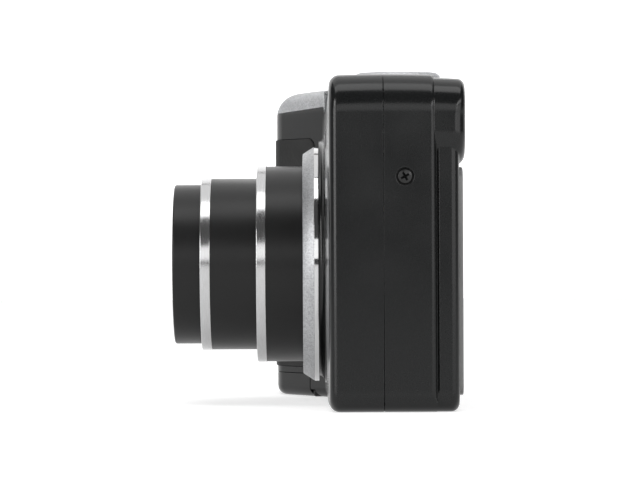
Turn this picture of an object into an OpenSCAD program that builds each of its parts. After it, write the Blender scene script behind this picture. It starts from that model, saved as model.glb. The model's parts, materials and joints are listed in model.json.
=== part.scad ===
// Compact long-zoom bridge camera with a telescoping lens, drawn as it comes apart on a bench.
// Millimetres. +Z is up, -Y is where the lens points, +X is the photographer's left hand.
// The origin is on the underside, directly below the lens axis.

/* [Body] */
// Width of the two covers
body_w = 110; // [99:1:124]
// Height of the covers at the crown of the top
body_h = 71.4; // [64.4:0.2:78]
// Depth of the front cover, from the origin to the flat of its front face
front_depth = 11.7; // [11.4:0.1:13]
// Depth of the rear cover, from the origin to its back face
rear_depth = 15.3; // [15:0.1:18]
// Where the two covers meet
seam_y = -0.6; // [-0.8:0.1:-0.2]
// Wall of the moulded covers
wall = 1.5; // [1.3:0.1:1.7]
// Rise of the top from its edges to its crown
crown_h = 0.7; // [0.2:0.1:1]
// Corner radius at the top of the covers, seen from the front
top_r = 7; // [5:0.5:8]
// Corner radius at the bottom of the covers, seen from the front
bottom_r = 4; // [3:0.5:5]
// Edge radius all round the front face
front_edge = 2.2; // [1.8:0.1:2.4]
// Edge radius all round the back face
rear_edge = 2.2; // [1.8:0.1:2.4]
// Depth behind the origin at which the outline steps in
step_y = 10.5; // [10:0.1:10.9]
// How far the sides step in there
step_side = 1; // [0.5:0.1:1.2]
// How far the top steps in there
step_top = 0.5; // [0.4:0.1:1.4]
// Gap left between pieces that meet at a parting line
seam_gap = 0.1; // [0.06:0.02:0.16]
// Clearance round a piece that is dropped into a recess
fit_gap = 0.1; // [0.06:0.02:0.16]

/* [Grip] */
// How far the grip stands ahead of the flat of the front face
grip_reach = 12.4; // [12:0.2:13.6]
// Width of the grip, from the right side to its inner flank
grip_w = 31; // [28:0.2:34]
// Gap between the lens collar and the inner flank of the grip
grip_clear = 4; // [3:0.1:6]
// Edge radius round the top of the grip
grip_top_edge = 5; // [4:0.2:5]
// Edge radius round the bottom of the grip
grip_bottom_edge = 2.2; // [1.8:0.1:2.6]
// Height of the lower edge of the rubber pad
pad_z0 = 6.9; // [6.6:0.1:9]
// Gap between the upper edge of the rubber pad and the silver top cover
pad_top_gap = 5.8; // [3:0.2:16]
// How far back the rubber pad wraps, ahead of the flat of the front face
pad_wrap = 3.8; // [3:0.2:6]
// How far the pad stands proud of the grip
pad_proud = 0.3; // [0.2:0.05:0.5]
// How deep the pad is let into the grip
pad_sunk = 0.5; // [0.3:0.05:0.6]
// How far the silver top cover's edge lies below the top at the front of the grip
top_cover_drop = 5.1; // [4.4:0.1:5.6]
// Slope of that edge, in degrees, rising to the back
top_cover_slope = 5; // [2:0.5:6]
// Distance from the right side to the left end of the top cover
top_cover_w = 53; // [52:0.5:56]

/* [Lens] */
// Height of the lens axis above the underside
lens_z = 31; // [30.6:0.1:32]
// Radius of the middle barrel
barrel_2_r = 19.1; // [17.2:0.1:21.4]
// How much larger the radius of the outermost barrel is
barrel_1_step = 2.7; // [2.6:0.05:2.9]
// Length of the outermost barrel with its ring
barrel_1_len = 21; // [20:0.2:21.4]
// Length of the middle barrel with its ring
barrel_2_len = 20; // [19:0.2:20.4]
// Length of the front barrel
barrel_3_len = 14; // [13:0.2:15]
// How far the outermost barrel stands out of the bezel
barrel_1_out = 10.2; // [9.6:0.1:10.4]
// How far the middle barrel stands out of the outermost one
barrel_2_out = 12.35; // [11.8:0.1:12.5]
// How far the front barrel stands out of the middle one
barrel_3_out = 6.25; // [6:0.1:6.5]
// Width of the bright ring on the outermost barrel
ring_1_w = 2.1; // [1.6:0.1:2.6]
// Width of the bright ring on the middle barrel
ring_2_w = 2.25; // [1.6:0.1:2.6]
// How far the bright rings stand proud of their barrels
ring_proud = 0.1; // [0.05:0.01:0.15]
// Running clearance between one barrel and the next
barrel_gap = 0.25; // [0.2:0.01:0.3]
// Wall of the sliding barrels
barrel_wall = 1.1; // [0.9:0.05:1.2]
// How much larger the radius of the bezel's front edge is than the outermost barrel's
bezel_step = 2.7; // [2.4:0.1:3]
// How much the bezel widens from its front edge to its bright band
bezel_widen = 1.6; // [1.2:0.1:2]
// Length of the silver cone of the bezel
bezel_len = 2.5; // [2:0.1:3]
// Width of the bright band behind the bezel
band_w = 1.1; // [0.8:0.1:1.4]
// Height of the dark collar that carries the bezel
collar_h = 1.3; // [1:0.1:1.6]
// How much wider the collar is at its foot than the band
collar_flare = 0.8; // [0.4:0.1:1.2]
// Rise of the front face from its edges to the collar
front_crown = 1.2; // [0.8:0.1:1.6]
// Radius of the clear opening in the front ring
aperture_r = 7.6; // [7:0.1:7.7]
// Thickness of a lens barrier blade
blade_t = 0.3; // [0.2:0.05:0.35]

/* [Drive] */
// Teeth on the cam ring
cam_teeth = 78; // [78:1:78]
// Teeth on the drive gear
drive_teeth = 12; // [12:1:12]
// How much larger the pitch radius of the cam ring's gear is than the outermost barrel
cam_step = 1.6; // [1.5:0.05:1.7]
// Direction of the drive gear round the lens axis, in degrees
drive_angle = 35; // [32:1:39]

/* [Controls] */
// Radius of the mode dial
dial_r = 9.9; // [9:0.1:10]
// Height of the mode dial
dial_h = 3.2; // [2.8:0.1:4.4]
// Ribs round the mode dial
dial_ribs = 48; // [30:1:60]
// Outer radius of the zoom lever
lever_r = 7; // [6.8:0.1:7.2]
// Height of the zoom lever
lever_h = 1.6; // [1.4:0.1:2]
// Radius of the shutter button
shutter_r = 4.4; // [4:0.1:4.6]
// Travel of the shutter button
shutter_travel = 1.2; // [0.8:0.1:1.4]
// Radius of the control wheel on the back
wheel_r = 10.5; // [9.8:0.1:11]
// Radius of the button inside the control wheel
set_r = 4.6; // [4:0.1:4.8]
// Radius of the small round buttons
key_r = 3; // [2.6:0.1:3.4]
// How far the small buttons stand proud
key_proud = 0.9; // [0.7:0.05:1.1]
// Travel of the small buttons
key_travel = 0.5; // [0.4:0.05:0.6]
// Clearance between a button and its hole
key_gap = 0.15; // [0.1:0.01:0.2]

/* [Back] */
// Width of the screen glass
glass_w = 66; // [62:0.5:66]
// Height of the screen glass
glass_h = 48.8; // [46:0.2:49]
// Height of the lower edge of the screen glass
glass_z = 3.4; // [3:0.1:4.2]
// How far the screen glass stands proud of the back
glass_proud = 0.9; // [0.6:0.1:1.1]
// Width of the visible edge of the glass round the picture
glass_border = 2; // [1.6:0.1:2.4]
// How far the brow above the screen stands proud of the back
brow_proud = 1; // [0.8:0.1:1.4]
// Height of the lower edge of the brow
brow_z = 53.4; // [53.4:0.1:56]

/* [Power] */
// Radius of an AA cell
cell_r = 7.25; // [7.1:0.05:7.25]
// Length of an AA cell
cell_len = 50.5; // [49:0.1:50.5]
// Height of the battery door's side walls
door_h = 5.3; // [5.1:0.1:5.6]
// Radius of the door's hinge pin
hinge_pin_r = 0.5; // [0.4:0.05:0.55]
// Radius of the hinge knuckles
knuckle_r = 1.1; // [1:0.05:1.2]
// Radius of the tripod thread, a quarter of an inch across
tripod_r = 3.175; // [3.1:0.025:3.2]
// Depth of the tripod thread
tripod_depth = 5.5; // [4.8:0.1:5.6]
// Radius of the case screws' heads
screw_head_r = 1.55; // [1.4:0.05:1.7]
// Radius of the case screws' shanks
screw_r = 0.85; // [0.75:0.05:0.9]

/* [Hidden] */
$fn = 64;
hull_fn = 32;
edge_fn = 24;
far = 300;
eps = 0.01;

// Outline of the covers
barrel_1_r = barrel_2_r + barrel_1_step;
barrel_3_r = barrel_2_r - barrel_wall - barrel_gap;
bezel_front_r = barrel_1_r + bezel_step;
bezel_r = bezel_front_r + bezel_widen;
band_r = bezel_r + 0.1;
collar_r = band_r + collar_flare;
x_right = -(collar_r + grip_clear + grip_w);
x_left = x_right + body_w;
z_edge = body_h - crown_h;
front_y = -front_depth;
rear_y = rear_depth;
crown_y = seam_y;
inner_edge = 0.6;
step_edge = 0.7;
crown_bar_r = 1;
crown_bar_inset = 8;
inner_front_y = front_y + wall;
inner_rear_y = rear_y - wall;
inner_top_z = z_edge - wall;
inner_step_y = step_y - wall;
seat_gap = 0.3;

// Grip, as four upright columns: front inner, front outer, rear outer, rear inner
grip_front_y = front_y - grip_reach;
grip_inner_x = x_right + grip_w;
grip_col = [
  [grip_inner_x - 9.5, grip_front_y + 7, 7],
  [x_right + 8.5, grip_front_y + 8.5, 8.5],
  [x_right + 8, front_y + 6.5, 5.5],
  [grip_inner_x - 5.5, front_y + 6.5, 5.5]
];
pad_outer_x = x_right + 4.5;
top_cover_z = z_edge - top_cover_drop;
pad_z1 = top_cover_z - pad_top_gap;

// Lens stack, from the collar forward
collar_y = front_y - front_crown;
band_y1 = collar_y - collar_h;
band_y0 = band_y1 - band_w;
bezel_front_y = band_y0 - bezel_len;
bezel_bore_r = barrel_1_r + ring_proud + barrel_gap;
spigot_r = bezel_bore_r + 0.9;
barrel_1_y = bezel_front_y - barrel_1_out;
barrel_2_y = barrel_1_y - barrel_2_out;
barrel_3_y = barrel_2_y - barrel_3_out;
barrel_1_in_r = barrel_2_r + ring_proud + 1.2;
barrel_2_in_r = barrel_3_r + barrel_gap;
barrel_3_in_r = barrel_3_r - barrel_wall;
barrel_1_end = barrel_1_y + barrel_1_len;
barrel_2_end = barrel_2_y + barrel_2_len;
barrel_3_end = barrel_3_y + barrel_3_len;

// Cam ring, gears and the fixed tube round them
cam_in_r = barrel_1_r + 0.3;
cam_pitch_r = barrel_1_r + cam_step;
gear_m = 2 * cam_pitch_r / cam_teeth;
drive_pitch_r = gear_m * drive_teeth / 2;
addendum = gear_m * 5 / 6;
dedendum = gear_m * 13 / 12;
tooth_tip = gear_m * 0.567;
tooth_root = gear_m * 1.75;
cam_out_r = cam_pitch_r - dedendum;
cam_tip_r = cam_pitch_r + addendum;
drive_tip_r = drive_pitch_r + addendum;
drive_x = (cam_pitch_r + drive_pitch_r) * cos(drive_angle);
drive_z = lens_z + (cam_pitch_r + drive_pitch_r) * sin(drive_angle);
tube_in_r = cam_tip_r + 0.3;
tube_out_r = tube_in_r + 1.2;
tube_y0 = inner_front_y + 0.2;
tube_disc_t = 1.2;
sensor_hole_r = 9.2;
cam_y0 = tube_y0 + 0.3;
gear_y0 = -0.8;
gear_y1 = 3.2;

// Stack behind the lens, front to back
plate_y = 6;
chassis_y = plate_y + 0.8;
board_y = chassis_y + 1.6;
lcd_y = board_y + 1;
tube_y1 = plate_y;
sensor_y = tube_y1 - 1.1;
cam_y1 = tube_y1 - tube_disc_t - 0.3;
focus_y = 1;
focus_t = 1.4;
focus_r = 12;
focus_lens_r = 6;
rod_r = 0.6;
rod_x = 10;

// Front barrel's inside: blades behind the front ring, then the glass
front_ring_t = 1;
blade_y = barrel_3_y + front_ring_t + 0.2;
blade_pivot_r = barrel_3_in_r - 1.5;
blade_out_r = barrel_3_in_r - 0.3;
blade_pin_r = 0.6;
blade_edge = aperture_r + 0.15;
blade_turn = asin(blade_edge / blade_pivot_r);
glass_r = 12.5;
glass_dome_r = 22;
glass_y = blade_y + blade_t + 0.5;
glass_seat_y = glass_y + glass_dome_r - sqrt(pow(glass_dome_r, 2) - pow(glass_r, 2));
glass_end_y = glass_seat_y + 2.6;

// Zoom group, at the rear of the middle barrel
shutter_y1 = barrel_2_end - 1;
shutter_y0 = shutter_y1 - 3;
zoom_lens_r = 6;

// Top controls
top_split_x = x_right + top_cover_w;
shutter_x = x_right + grip_w / 2 - 0.5;
shutter_y = seam_y - 0.9;
dial_gap = 2.1;
dial_x = shutter_x + lever_r + dial_gap + dial_r;
dial_y = 4.1;
power_x = top_split_x - 5;
power_y = 1;
deck_z = inner_top_z;
lever_z = body_h + 0.2;
dial_z = body_h + 0.3;
lever_sleeve_r = shutter_r + key_gap + 1.3;
lever_flange_z = deck_z - seat_gap - 1.1;
shutter_flange_z = lever_flange_z - seat_gap - 0.8;
dial_shaft_r = 3;

// Back controls
wheel_x = x_right + step_side + rear_edge + 3.5 + wheel_r;
wheel_z = 27;
wheel_sleeve_r = set_r + key_gap + 1.3;
play_x = wheel_x + wheel_r - key_r - 0.2;
play_z = 46;
menu_x = play_x;
menu_z = 9.5;
key_board_t = 0.6;
key_flange_t = 0.8;
key_flange_y = inner_rear_y - seat_gap - key_flange_t;
wheel_flange_y = inner_rear_y - seat_gap - 0.6;
set_flange_y = wheel_flange_y - seat_gap - key_flange_t;
key_floor_y = set_flange_y - key_travel - seat_gap - key_board_t;

// Screen
glass_x1 = x_left - step_side - rear_edge - 0.8;
glass_x0 = glass_x1 - glass_w;
glass_t = 1 + glass_proud;
glass_corner = 2.5;
brow_x0 = glass_x0 - 1.5;
brow_x1 = x_left - step_side / 2;
brow_z1 = z_edge - step_top;

// Batteries, card and door
cell_gap = 0.15;
holder_wall = 0.8;
holder_r = cell_r + cell_gap + holder_wall;
card_w = 24;
card_len = 32;
card_t = 2.1;
slot_wall = 0.9;
slot_gap = 0.6;
flank_gap = 2.8;
card_x0 = grip_inner_x - wall - flank_gap - slot_wall - card_t;
cell_x = card_x0 - slot_gap - holder_r;
cell_ys = [grip_front_y + wall + seat_gap + holder_r, key_floor_y - fit_gap - holder_r];
spring_h = 3.3;
cell_z = wall + spring_h;
contact_t = 0.9;
hinge_x = grip_inner_x + 4;
hinge_z = knuckle_r;
door_y1 = seam_y + 8.8;
door_gap = 0.2;
knuckle_gap = 0.3;
knuckle_len = 4;
door_knuckles = [seam_y - 8.6, seam_y + 4];
front_knuckle = seam_y - 0.3 - knuckle_len;
rear_knuckle = seam_y + 0.3;
rear_knuckle_len = door_knuckles[1] - knuckle_gap - rear_knuckle;
swing_room = knuckle_r + 0.45;
hinge_clear = 0.05;
card_y0 = key_floor_y - 0.2 - card_w;
card_z0 = door_h + 1.4;
tripod_x = x_left - 17;
bush_r = tripod_r + 1.4;
tripod_y = seam_y + 0.3 + bush_r;
bush_z1 = tripod_depth + 1.3;

// Ports on the right side
port_y0 = 1.6;
port_y1 = 9.2;
port_h = 20;
port_bead_r = 0.4;
lug_y = 4;
lug_z = [z_edge - 15.7, z_edge - 7.7];
port_z1 = lug_z[0] - 7;
port_z0 = port_z1 - port_h;
port_x1 = cell_x - holder_r - seat_gap;
lug_r = 0.9;
lug_out = 3;

// Flash, focus lamp and screws
flash_x0 = 4;
flash_x1 = 24;
flash_z0 = z_edge - 6.3;
flash_z1 = z_edge - 2.1;
flash_y = front_y - 0.9;
lamp_x = x_left - 17;
lamp_z = z_edge - 13;
lamp_r = 2.2;
speaker_x = x_left - 14;
speaker_y = 3.8;
speaker_r = 4.6;
screw_len = 3.2;
screw_head_h = 1.1;
screw_sink = 0.25;
head_gap = 0.3;
side_screw = [3.9, 49.6];
right_screw = [3.5, 14];
chassis_x0 = hinge_x + 5;
chassis_x1 = x_left - wall - 4;
chassis_z1 = inner_top_z - 4;
chassis_z0 = hinge_z + knuckle_r + 0.5;
board_z1 = chassis_z1 - 7.2;
foot_half = 2.5;
base_screws = [[chassis_x1 - foot_half, 4.6], [chassis_x0 + 6, 4.6]];
tab_t = 1.8;
tab_reach = 3;
tab_root = 3.2;

black = "#2b2c2c";
dark = "#1f2020";
rubber = "#262626";
silver = "#b9bbbe";
chrome = "#d9dadc";
glass = "#39424a";
metal = "#8d9094";
board = "#2f5a3c";
brass = "#b59b5a";

// Bars and tubes along the three axes
module ybar(r, y0, y1, x = 0, z = 0) {
  translate([x, y1, z]) rotate([90, 0, 0]) cylinder(r = r, h = y1 - y0);
}

module ycone(r0, r1, y0, y1, x = 0, z = 0) {
  translate([x, y1, z]) rotate([90, 0, 0]) cylinder(r1 = r1, r2 = r0, h = y1 - y0);
}

module ytube(ro, ri, y0, y1, x = 0, z = 0) {
  difference() {
    ybar(ro, y0, y1, x, z);
    ybar(ri, y0 - 1, y1 + 1, x, z);
  }
}

module xbar(r, x0, x1, y = 0, z = 0) {
  translate([x0, y, z]) rotate([0, 90, 0]) cylinder(r = r, h = x1 - x0);
}

module zbar(r, z0, z1, x = 0, y = 0) {
  translate([x, y, z0]) cylinder(r = r, h = z1 - z0);
}

module box(lo, hi) {
  translate(lo) cube(hi - lo);
}

module slab_y(y0, y1) {
  box([-far, y0, -far], [far, y1, far]);
}

// A plate in the XZ plane with rounded corners
module round_plate(lo, hi, r) {
  translate([0, hi[1], 0]) rotate([90, 0, 0]) linear_extrude(hi[1] - lo[1]) {
    translate([lo[0] + r, lo[2]]) square([hi[0] - lo[0] - 2 * r, hi[2] - lo[2]]);
    translate([lo[0], lo[2] + r]) square([hi[0] - lo[0], hi[2] - lo[2] - 2 * r]);
    for (x = [lo[0] + r, hi[0] - r], z = [lo[2] + r, hi[2] - r]) translate([x, z]) circle(r);
  }
}

// A disc of radius r with a rounded rim
module rimmed_disc(r, edge) {
  rotate_extrude($fn = hull_fn) intersection() {
    translate([r - edge, 0]) circle(edge, $fn = edge_fn);
    translate([0, -edge]) square([r, 2 * edge]);
  }
}

// The same disc upright, about an axis along Y
module edge_ring(x, y, z, r, edge) {
  translate([x, y, z]) rotate([90, 0, 0]) rimmed_disc(r, edge);
}

// The four corner rings of the covers' outline at one depth
module outline_rings(side, top, bottom, rt, rb, y, edge) {
  for (s = [-1, 1]) {
    x = s > 0 ? x_left - side : x_right + side;
    edge_ring(x - s * rt, y, z_edge - top - rt, rt, edge);
    edge_ring(x - s * rb, y, bottom + rb, rb, edge);
  }
}

// Outside of the covers ahead of the step
module main_outer() {
  hull() {
    outline_rings(0, 0, 0, top_r, bottom_r, front_y + front_edge, front_edge);
    outline_rings(0, 0, 0, top_r, bottom_r, step_y - step_edge, step_edge);
    xbar(crown_bar_r, x_right + crown_bar_inset, x_left - crown_bar_inset, crown_y, body_h - crown_bar_r,
      $fn = hull_fn);
    ybar(collar_r, collar_y, collar_y + 1, 0, lens_z, $fn = hull_fn * 2);
  }
}

// Outside of the rear cover behind the step
module rear_outer() {
  hull() for (y = [step_y - rear_edge, rear_y - rear_edge])
    outline_rings(step_side, step_top, 0, top_r - step_side, bottom_r, y, rear_edge);
}

// Raised brow above the screen
module brow() {
  hull() for (x = [brow_x0, brow_x1], z = [brow_z, brow_z1], y = [step_y + 2, rear_y + brow_proud - 1.6])
    edge_ring(x + (x == brow_x0 ? 1 : -1) * (z == brow_z ? 2 : top_r - step_side),
      y, z + (z == brow_z ? 2 : step_side - top_r), z == brow_z ? 2 : top_r - step_side, 1.6);
}

// Hollow inside the two covers, ahead of the step
module cavity() {
  hull() for (y = [inner_front_y + inner_edge, inner_step_y - inner_edge])
    outline_rings(wall, wall, wall, top_r - wall, bottom_r - wall, y, inner_edge);
}

// Hollow inside the rear cover, behind the step
module rear_cavity() {
  hull() for (y = [inner_step_y - 1, inner_rear_y - inner_edge])
    outline_rings(wall + step_side, wall + step_top, wall, top_r - wall, bottom_r - wall, y, inner_edge);
}

// The grip's upright body, grown or shrunk by d
module grip_body(d) {
  hull() for (c = grip_col) translate([c[0], c[1], 0]) {
    translate([0, 0, z_edge - grip_top_edge]) rimmed_disc(c[2] + d, grip_top_edge + d);
    translate([0, 0, grip_bottom_edge]) rimmed_disc(c[2] + d, grip_bottom_edge + d);
  }
}

module outer_front() {
  main_outer();
  grip_body(0);
}

module inner_front() {
  cavity();
  grip_body(-wall);
}

// Space taken by the silver top cover, grown by d at its parting lines
module top_cover_space(d) {
  translate([0, grip_front_y, top_cover_z - d]) rotate([top_cover_slope, 0, 0])
    box([x_right - far, -far, 0], [top_split_x + d, far, far]);
}

// Space that the covers leave for the battery door and its swing
module door_space() {
  box([-far, -far, -far], [hinge_x, door_y1 + door_gap, door_h + door_gap]);
  box([hinge_x - eps, -far, -far], [hinge_x + swing_room, door_y1 + door_gap, hinge_z + 0.6]);
}

// Space taken by the rubber pad, grown by d at its edges
module pad_space(d) {
  box([pad_outer_x - d, -far, pad_z0 - d], [far, front_y - pad_wrap + d, pad_z1 + d]);
}

// Holes for the controls on the top
module top_holes() {
  zbar(lever_sleeve_r + key_gap, 0, far, shutter_x, shutter_y);
  zbar(dial_shaft_r + hinge_clear, 0, far, dial_x, dial_y);
  zbar(key_r + key_gap, 0, far, power_x, power_y);
}

// A case screw pointing along -Z, with its head's face at the origin
module screw() {
  difference() {
    union() {
      translate([0, 0, -screw_head_h]) cylinder(r = screw_head_r, h = screw_head_h);
      translate([0, 0, -screw_len]) cylinder(r = screw_r, h = screw_len);
    }
    for (a = [45, 135]) rotate([0, 0, a])
      translate([-screw_head_r * 0.62, -0.22, -0.6]) cube([screw_head_r * 1.24, 0.44, 1]);
  }
}

// Countersunk seat of such a screw
module screw_seat() {
  translate([0, 0, -screw_head_h]) cylinder(r = screw_head_r + head_gap, h = 2 * screw_len);
  translate([0, 0, -screw_len - 1]) cylinder(r = screw_r + hinge_clear, h = screw_len + 1);
}

// Puts its children at every case screw
module at_screws() {
  translate([x_left - screw_sink, side_screw[0], side_screw[1]]) rotate([0, 90, 0]) children();
  translate([x_right + screw_sink, right_screw[0], right_screw[1]]) rotate([0, -90, 0]) children();
  for (p = base_screws) translate([p[0], p[1], screw_sink]) rotate([180, 0, 0]) children();
}

// Knuckle of the battery door's hinge
module knuckle(y0, len) {
  ybar(knuckle_r, y0, y0 + len, hinge_x, hinge_z);
}

// Knuckle that belongs to a cover, with its web to the floor
module cover_knuckle(y0, len) {
  knuckle(y0, len);
  box([hinge_x, y0, hinge_z - 0.45], [hinge_x + swing_room + 1, y0 + len, wall]);
}

module hinge_bore() {
  ybar(hinge_pin_r + hinge_clear, front_y - 1, door_y1 + 1, hinge_x, hinge_z);
}

// Tab of the front cover that reaches behind the rear cover's side for a screw; s is the side
module screw_tab(x, s, pos) {
  root = s > 0 ? [x - wall - fit_gap - tab_t, x - wall + 0.2] : [x + wall - 0.2, x + wall + fit_gap + tab_t];
  reach = s > 0 ? [x - wall - fit_gap - tab_t, x - wall - fit_gap] : [x + wall + fit_gap, x + wall + fit_gap + tab_t];
  box([root[0], seam_y - seam_gap - tab_root, pos[1] - tab_reach],
    [root[1], seam_y - seam_gap / 2, pos[1] + tab_reach]);
  box([reach[0], seam_y - seam_gap - tab_root, pos[1] - tab_reach],
    [reach[1], pos[0] + tab_reach, pos[1] + tab_reach]);
}

module front_cover() color(black) {
  difference() {
    union() {
      difference() {
        intersection() {
          outer_front();
          slab_y(-far, seam_y - seam_gap / 2);
        }
        inner_front();
      }
      ycone(band_r, collar_r, band_y1, collar_y + eps, 0, lens_z);
      screw_tab(x_left, 1, side_screw);
      screw_tab(x_right, -1, right_screw);
    }
    ybar(spigot_r + fit_gap, -far, 0, 0, lens_z);
    at_screws() screw_seat();
    round_plate([flash_x0 - fit_gap, -far, flash_z0 - fit_gap], [flash_x1 + fit_gap, 0, flash_z1 + fit_gap], 1);
    ybar(lamp_r + fit_gap, -far, 0, lamp_x, lamp_z);
    top_cover_space(seam_gap);
    door_space();
    difference() {
      pad_space(fit_gap);
      grip_body(-pad_sunk - fit_gap);
    }
  }
  difference() {
    cover_knuckle(front_knuckle, knuckle_len);
    hinge_bore();
  }
}

// Openings in the back for the screen and the buttons
module back_openings() {
  round_plate([glass_x0 - fit_gap, rear_y - 1, glass_z - fit_gap],
    [glass_x1 + fit_gap, far, glass_z + glass_h + fit_gap], glass_corner + fit_gap);
  round_plate([glass_x0 + glass_border, 0, glass_z + glass_border],
    [glass_x1 - glass_border, far, glass_z + glass_h - glass_border], 1);
  ybar(wheel_r + key_gap, rear_y - 0.6 - seat_gap, far, wheel_x, wheel_z);
  ybar(wheel_sleeve_r + key_gap, 0, far, wheel_x, wheel_z);
  ybar(key_r + key_gap, 0, far, play_x, play_z);
  ybar(key_r + key_gap, 0, far, menu_x, menu_z);
}

module speaker_holes() {
  for (a = [0:60:300]) zbar(0.45, inner_top_z - 2, far, speaker_x + 2 * cos(a), speaker_y + 2 * sin(a), $fn = 24);
  zbar(0.45, inner_top_z - 2, far, speaker_x, speaker_y, $fn = 24);
}

module port_hole(d) {
  box([x_right - far, port_y0 - d, port_z0 - d], [x_right + wall + 2, port_y1 + d, port_z1 + d]);
}

module rear_cover() color(black) {
  difference() {
    union() {
      intersection() {
        main_outer();
        slab_y(seam_y + seam_gap / 2, step_y);
      }
      intersection() {
        rear_outer();
        slab_y(step_y - eps, far);
      }
      brow();
    }
    cavity();
    rear_cavity();
    back_openings();
    speaker_holes();
    port_hole(fit_gap);
    box([x_right - far, port_y0 - 0.6, port_z0 - fit_gap], [x_right + wall, port_y0, port_z1 + fit_gap]);
    at_screws() screw_seat();
    for (z = lug_z) xbar(lug_r + hinge_clear, x_right - far, x_right + wall + 2, lug_y, z);
    zbar(bush_r + fit_gap, -far, wall + 1, tripod_x, tripod_y);
    intersection() {
      top_cover_space(seam_gap);
      slab_y(-far, step_y + eps);
    }
    door_space();
  }
  difference() {
    cover_knuckle(rear_knuckle, rear_knuckle_len);
    hinge_bore();
  }
}

module top_cover() color(silver) {
  difference() {
    intersection() {
      outer_front();
      top_cover_space(0);
      slab_y(-far, step_y - seam_gap);
    }
    inner_front();
    top_holes();
  }
}

module grip_pad() color(rubber) {
  difference() {
    intersection() {
      grip_body(pad_proud);
      pad_space(0);
    }
    grip_body(-pad_sunk);
  }
}

module lens_bezel() color(silver) {
  difference() {
    union() {
      ycone(bezel_front_r, bezel_r, bezel_front_y, band_y0, 0, lens_z);
      ybar(spigot_r, band_y0 - eps, inner_front_y, 0, lens_z);
    }
    ybar(bezel_bore_r, -far, far, 0, lens_z);
  }
}

module bezel_band() color(chrome) ytube(band_r, spigot_r, band_y0, band_y1, 0, lens_z);

module lens_tube() color(dark) {
  difference() {
    union() {
      ytube(tube_out_r, tube_in_r, tube_y0, tube_y1, 0, lens_z);
      ytube(tube_out_r, sensor_hole_r, tube_y1 - tube_disc_t, tube_y1, 0, lens_z);
    }
    ybar(drive_tip_r + 0.5, gear_y0 - 0.5, gear_y1 + 0.5, drive_x, drive_z);
    for (s = [-1, 1]) ybar(rod_r, 0, far, s * rod_x, lens_z);
  }
}

module chassis() color(metal) {
  difference() {
    box([chassis_x0, chassis_y, chassis_z0], [chassis_x1, chassis_y + 1, chassis_z1]);
    for (x = [chassis_x0 + 4, chassis_x1 - 6.5], z = [chassis_z0 + 9, board_z1 - 2]) ybar(1, 0, far, x, z);
    zbar(bush_r + seat_gap, -1, bush_z1 + eps, tripod_x, tripod_y);
  }
  for (p = base_screws) difference() {
    box([p[0] - foot_half, p[1] - foot_half, wall + fit_gap], [p[0] + foot_half, chassis_y + eps, screw_len + 1.5]);
    zbar(screw_r + hinge_clear, -1, far, p[0], p[1]);
  }
  for (x = [chassis_x0 + 10, chassis_x1 - 12.5], z = [bush_z1 + 3, board_z1 - 6])
    ybar(1.6, chassis_y + 1, board_y, x, z);
  difference() {
    box([tripod_x - bush_r, tripod_y - bush_r, bush_z1], [tripod_x + bush_r, chassis_y + eps, bush_z1 + 1]);
    ybar(tube_out_r + 0.3, -far, far, 0, lens_z);
  }
}

module main_board() color(board)
  box([chassis_x0 + 1, board_y, bush_z1 + 0.6], [chassis_x1 + 0.5, board_y + 0.8, board_z1]);

module key_board() color(board)
  box([x_right + wall + 2.5, key_floor_y, door_h + 1], [play_x + key_r + 2, key_floor_y + key_board_t, board_z1]);

// Package of the image sensor, half its width and height
sensor_half_w = 7;
sensor_half_h = 5.5;
plate_rim = 6.5;

module sensor_plate() color(metal)
  box([-sensor_half_w - plate_rim, plate_y, lens_z - sensor_half_h - plate_rim],
    [sensor_half_w + plate_rim, chassis_y, lens_z + sensor_half_h + plate_rim]);

module image_sensor() color(dark)
  box([-sensor_half_w, sensor_y, lens_z - sensor_half_h], [sensor_half_w, plate_y, lens_z + sensor_half_h]);

// Picture area of the screen
lcd_lo = [glass_x0 + glass_border + 0.5, 0, glass_z + glass_border + 0.5];
lcd_hi = [glass_x1 - glass_border - 0.5, 0, glass_z + glass_h - glass_border - 0.5];
lcd_rim = 0.5;
lcd_t = inner_rear_y - 0.2 - 0.4 - lcd_y;

module lcd_frame() color(metal) {
  difference() {
    box(lcd_lo + [-lcd_rim, lcd_y, -lcd_rim], lcd_hi + [lcd_rim, lcd_y + 0.4 + lcd_t, lcd_rim]);
    box(lcd_lo + [0, lcd_y + 0.4, 0], lcd_hi + [0, far, 0]);
  }
}

module lcd_panel() color(glass)
  box(lcd_lo + [fit_gap, lcd_y + 0.4, fit_gap], lcd_hi + [-fit_gap, lcd_y + 0.4 + lcd_t - 0.2, -fit_gap]);

module lcd_window() color(glass)
  round_plate([glass_x0, rear_y - 1, glass_z], [glass_x1, rear_y - 1 + glass_t, glass_z + glass_h], glass_corner);

module flash_window() color("#d8dde0")
  round_plate([flash_x0, flash_y, flash_z0], [flash_x1, inner_front_y, flash_z1], 1);

flash_tube_y = inner_front_y + 3.2;
flash_tube_r = 1;

module flash_reflector() color(chrome) {
  difference() {
    box([flash_x0, inner_front_y + 0.1, flash_z0], [flash_x1, inner_front_y + 5, flash_z1]);
    translate([flash_x0 + 0.6, 0, 0]) rotate([90, 0, 90]) linear_extrude(flash_x1 - flash_x0 - 1.2)
      polygon([
        [inner_front_y, flash_z0 + 0.4], [inner_front_y, flash_z1 - 0.4],
        [inner_front_y + 4.5, (flash_z0 + flash_z1) / 2 + 1.1], [inner_front_y + 4.5, (flash_z0 + flash_z1) / 2 - 1.1]
      ]);
    xbar(flash_tube_r + fit_gap, -far, far, flash_tube_y, (flash_z0 + flash_z1) / 2);
  }
}

module flash_tube() color("#e8eef0")
  xbar(flash_tube_r, flash_x0 - 1.5, flash_x1 + 1.5, flash_tube_y, (flash_z0 + flash_z1) / 2);

capacitor_r = 4;
capacitor_len = 30;

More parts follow.
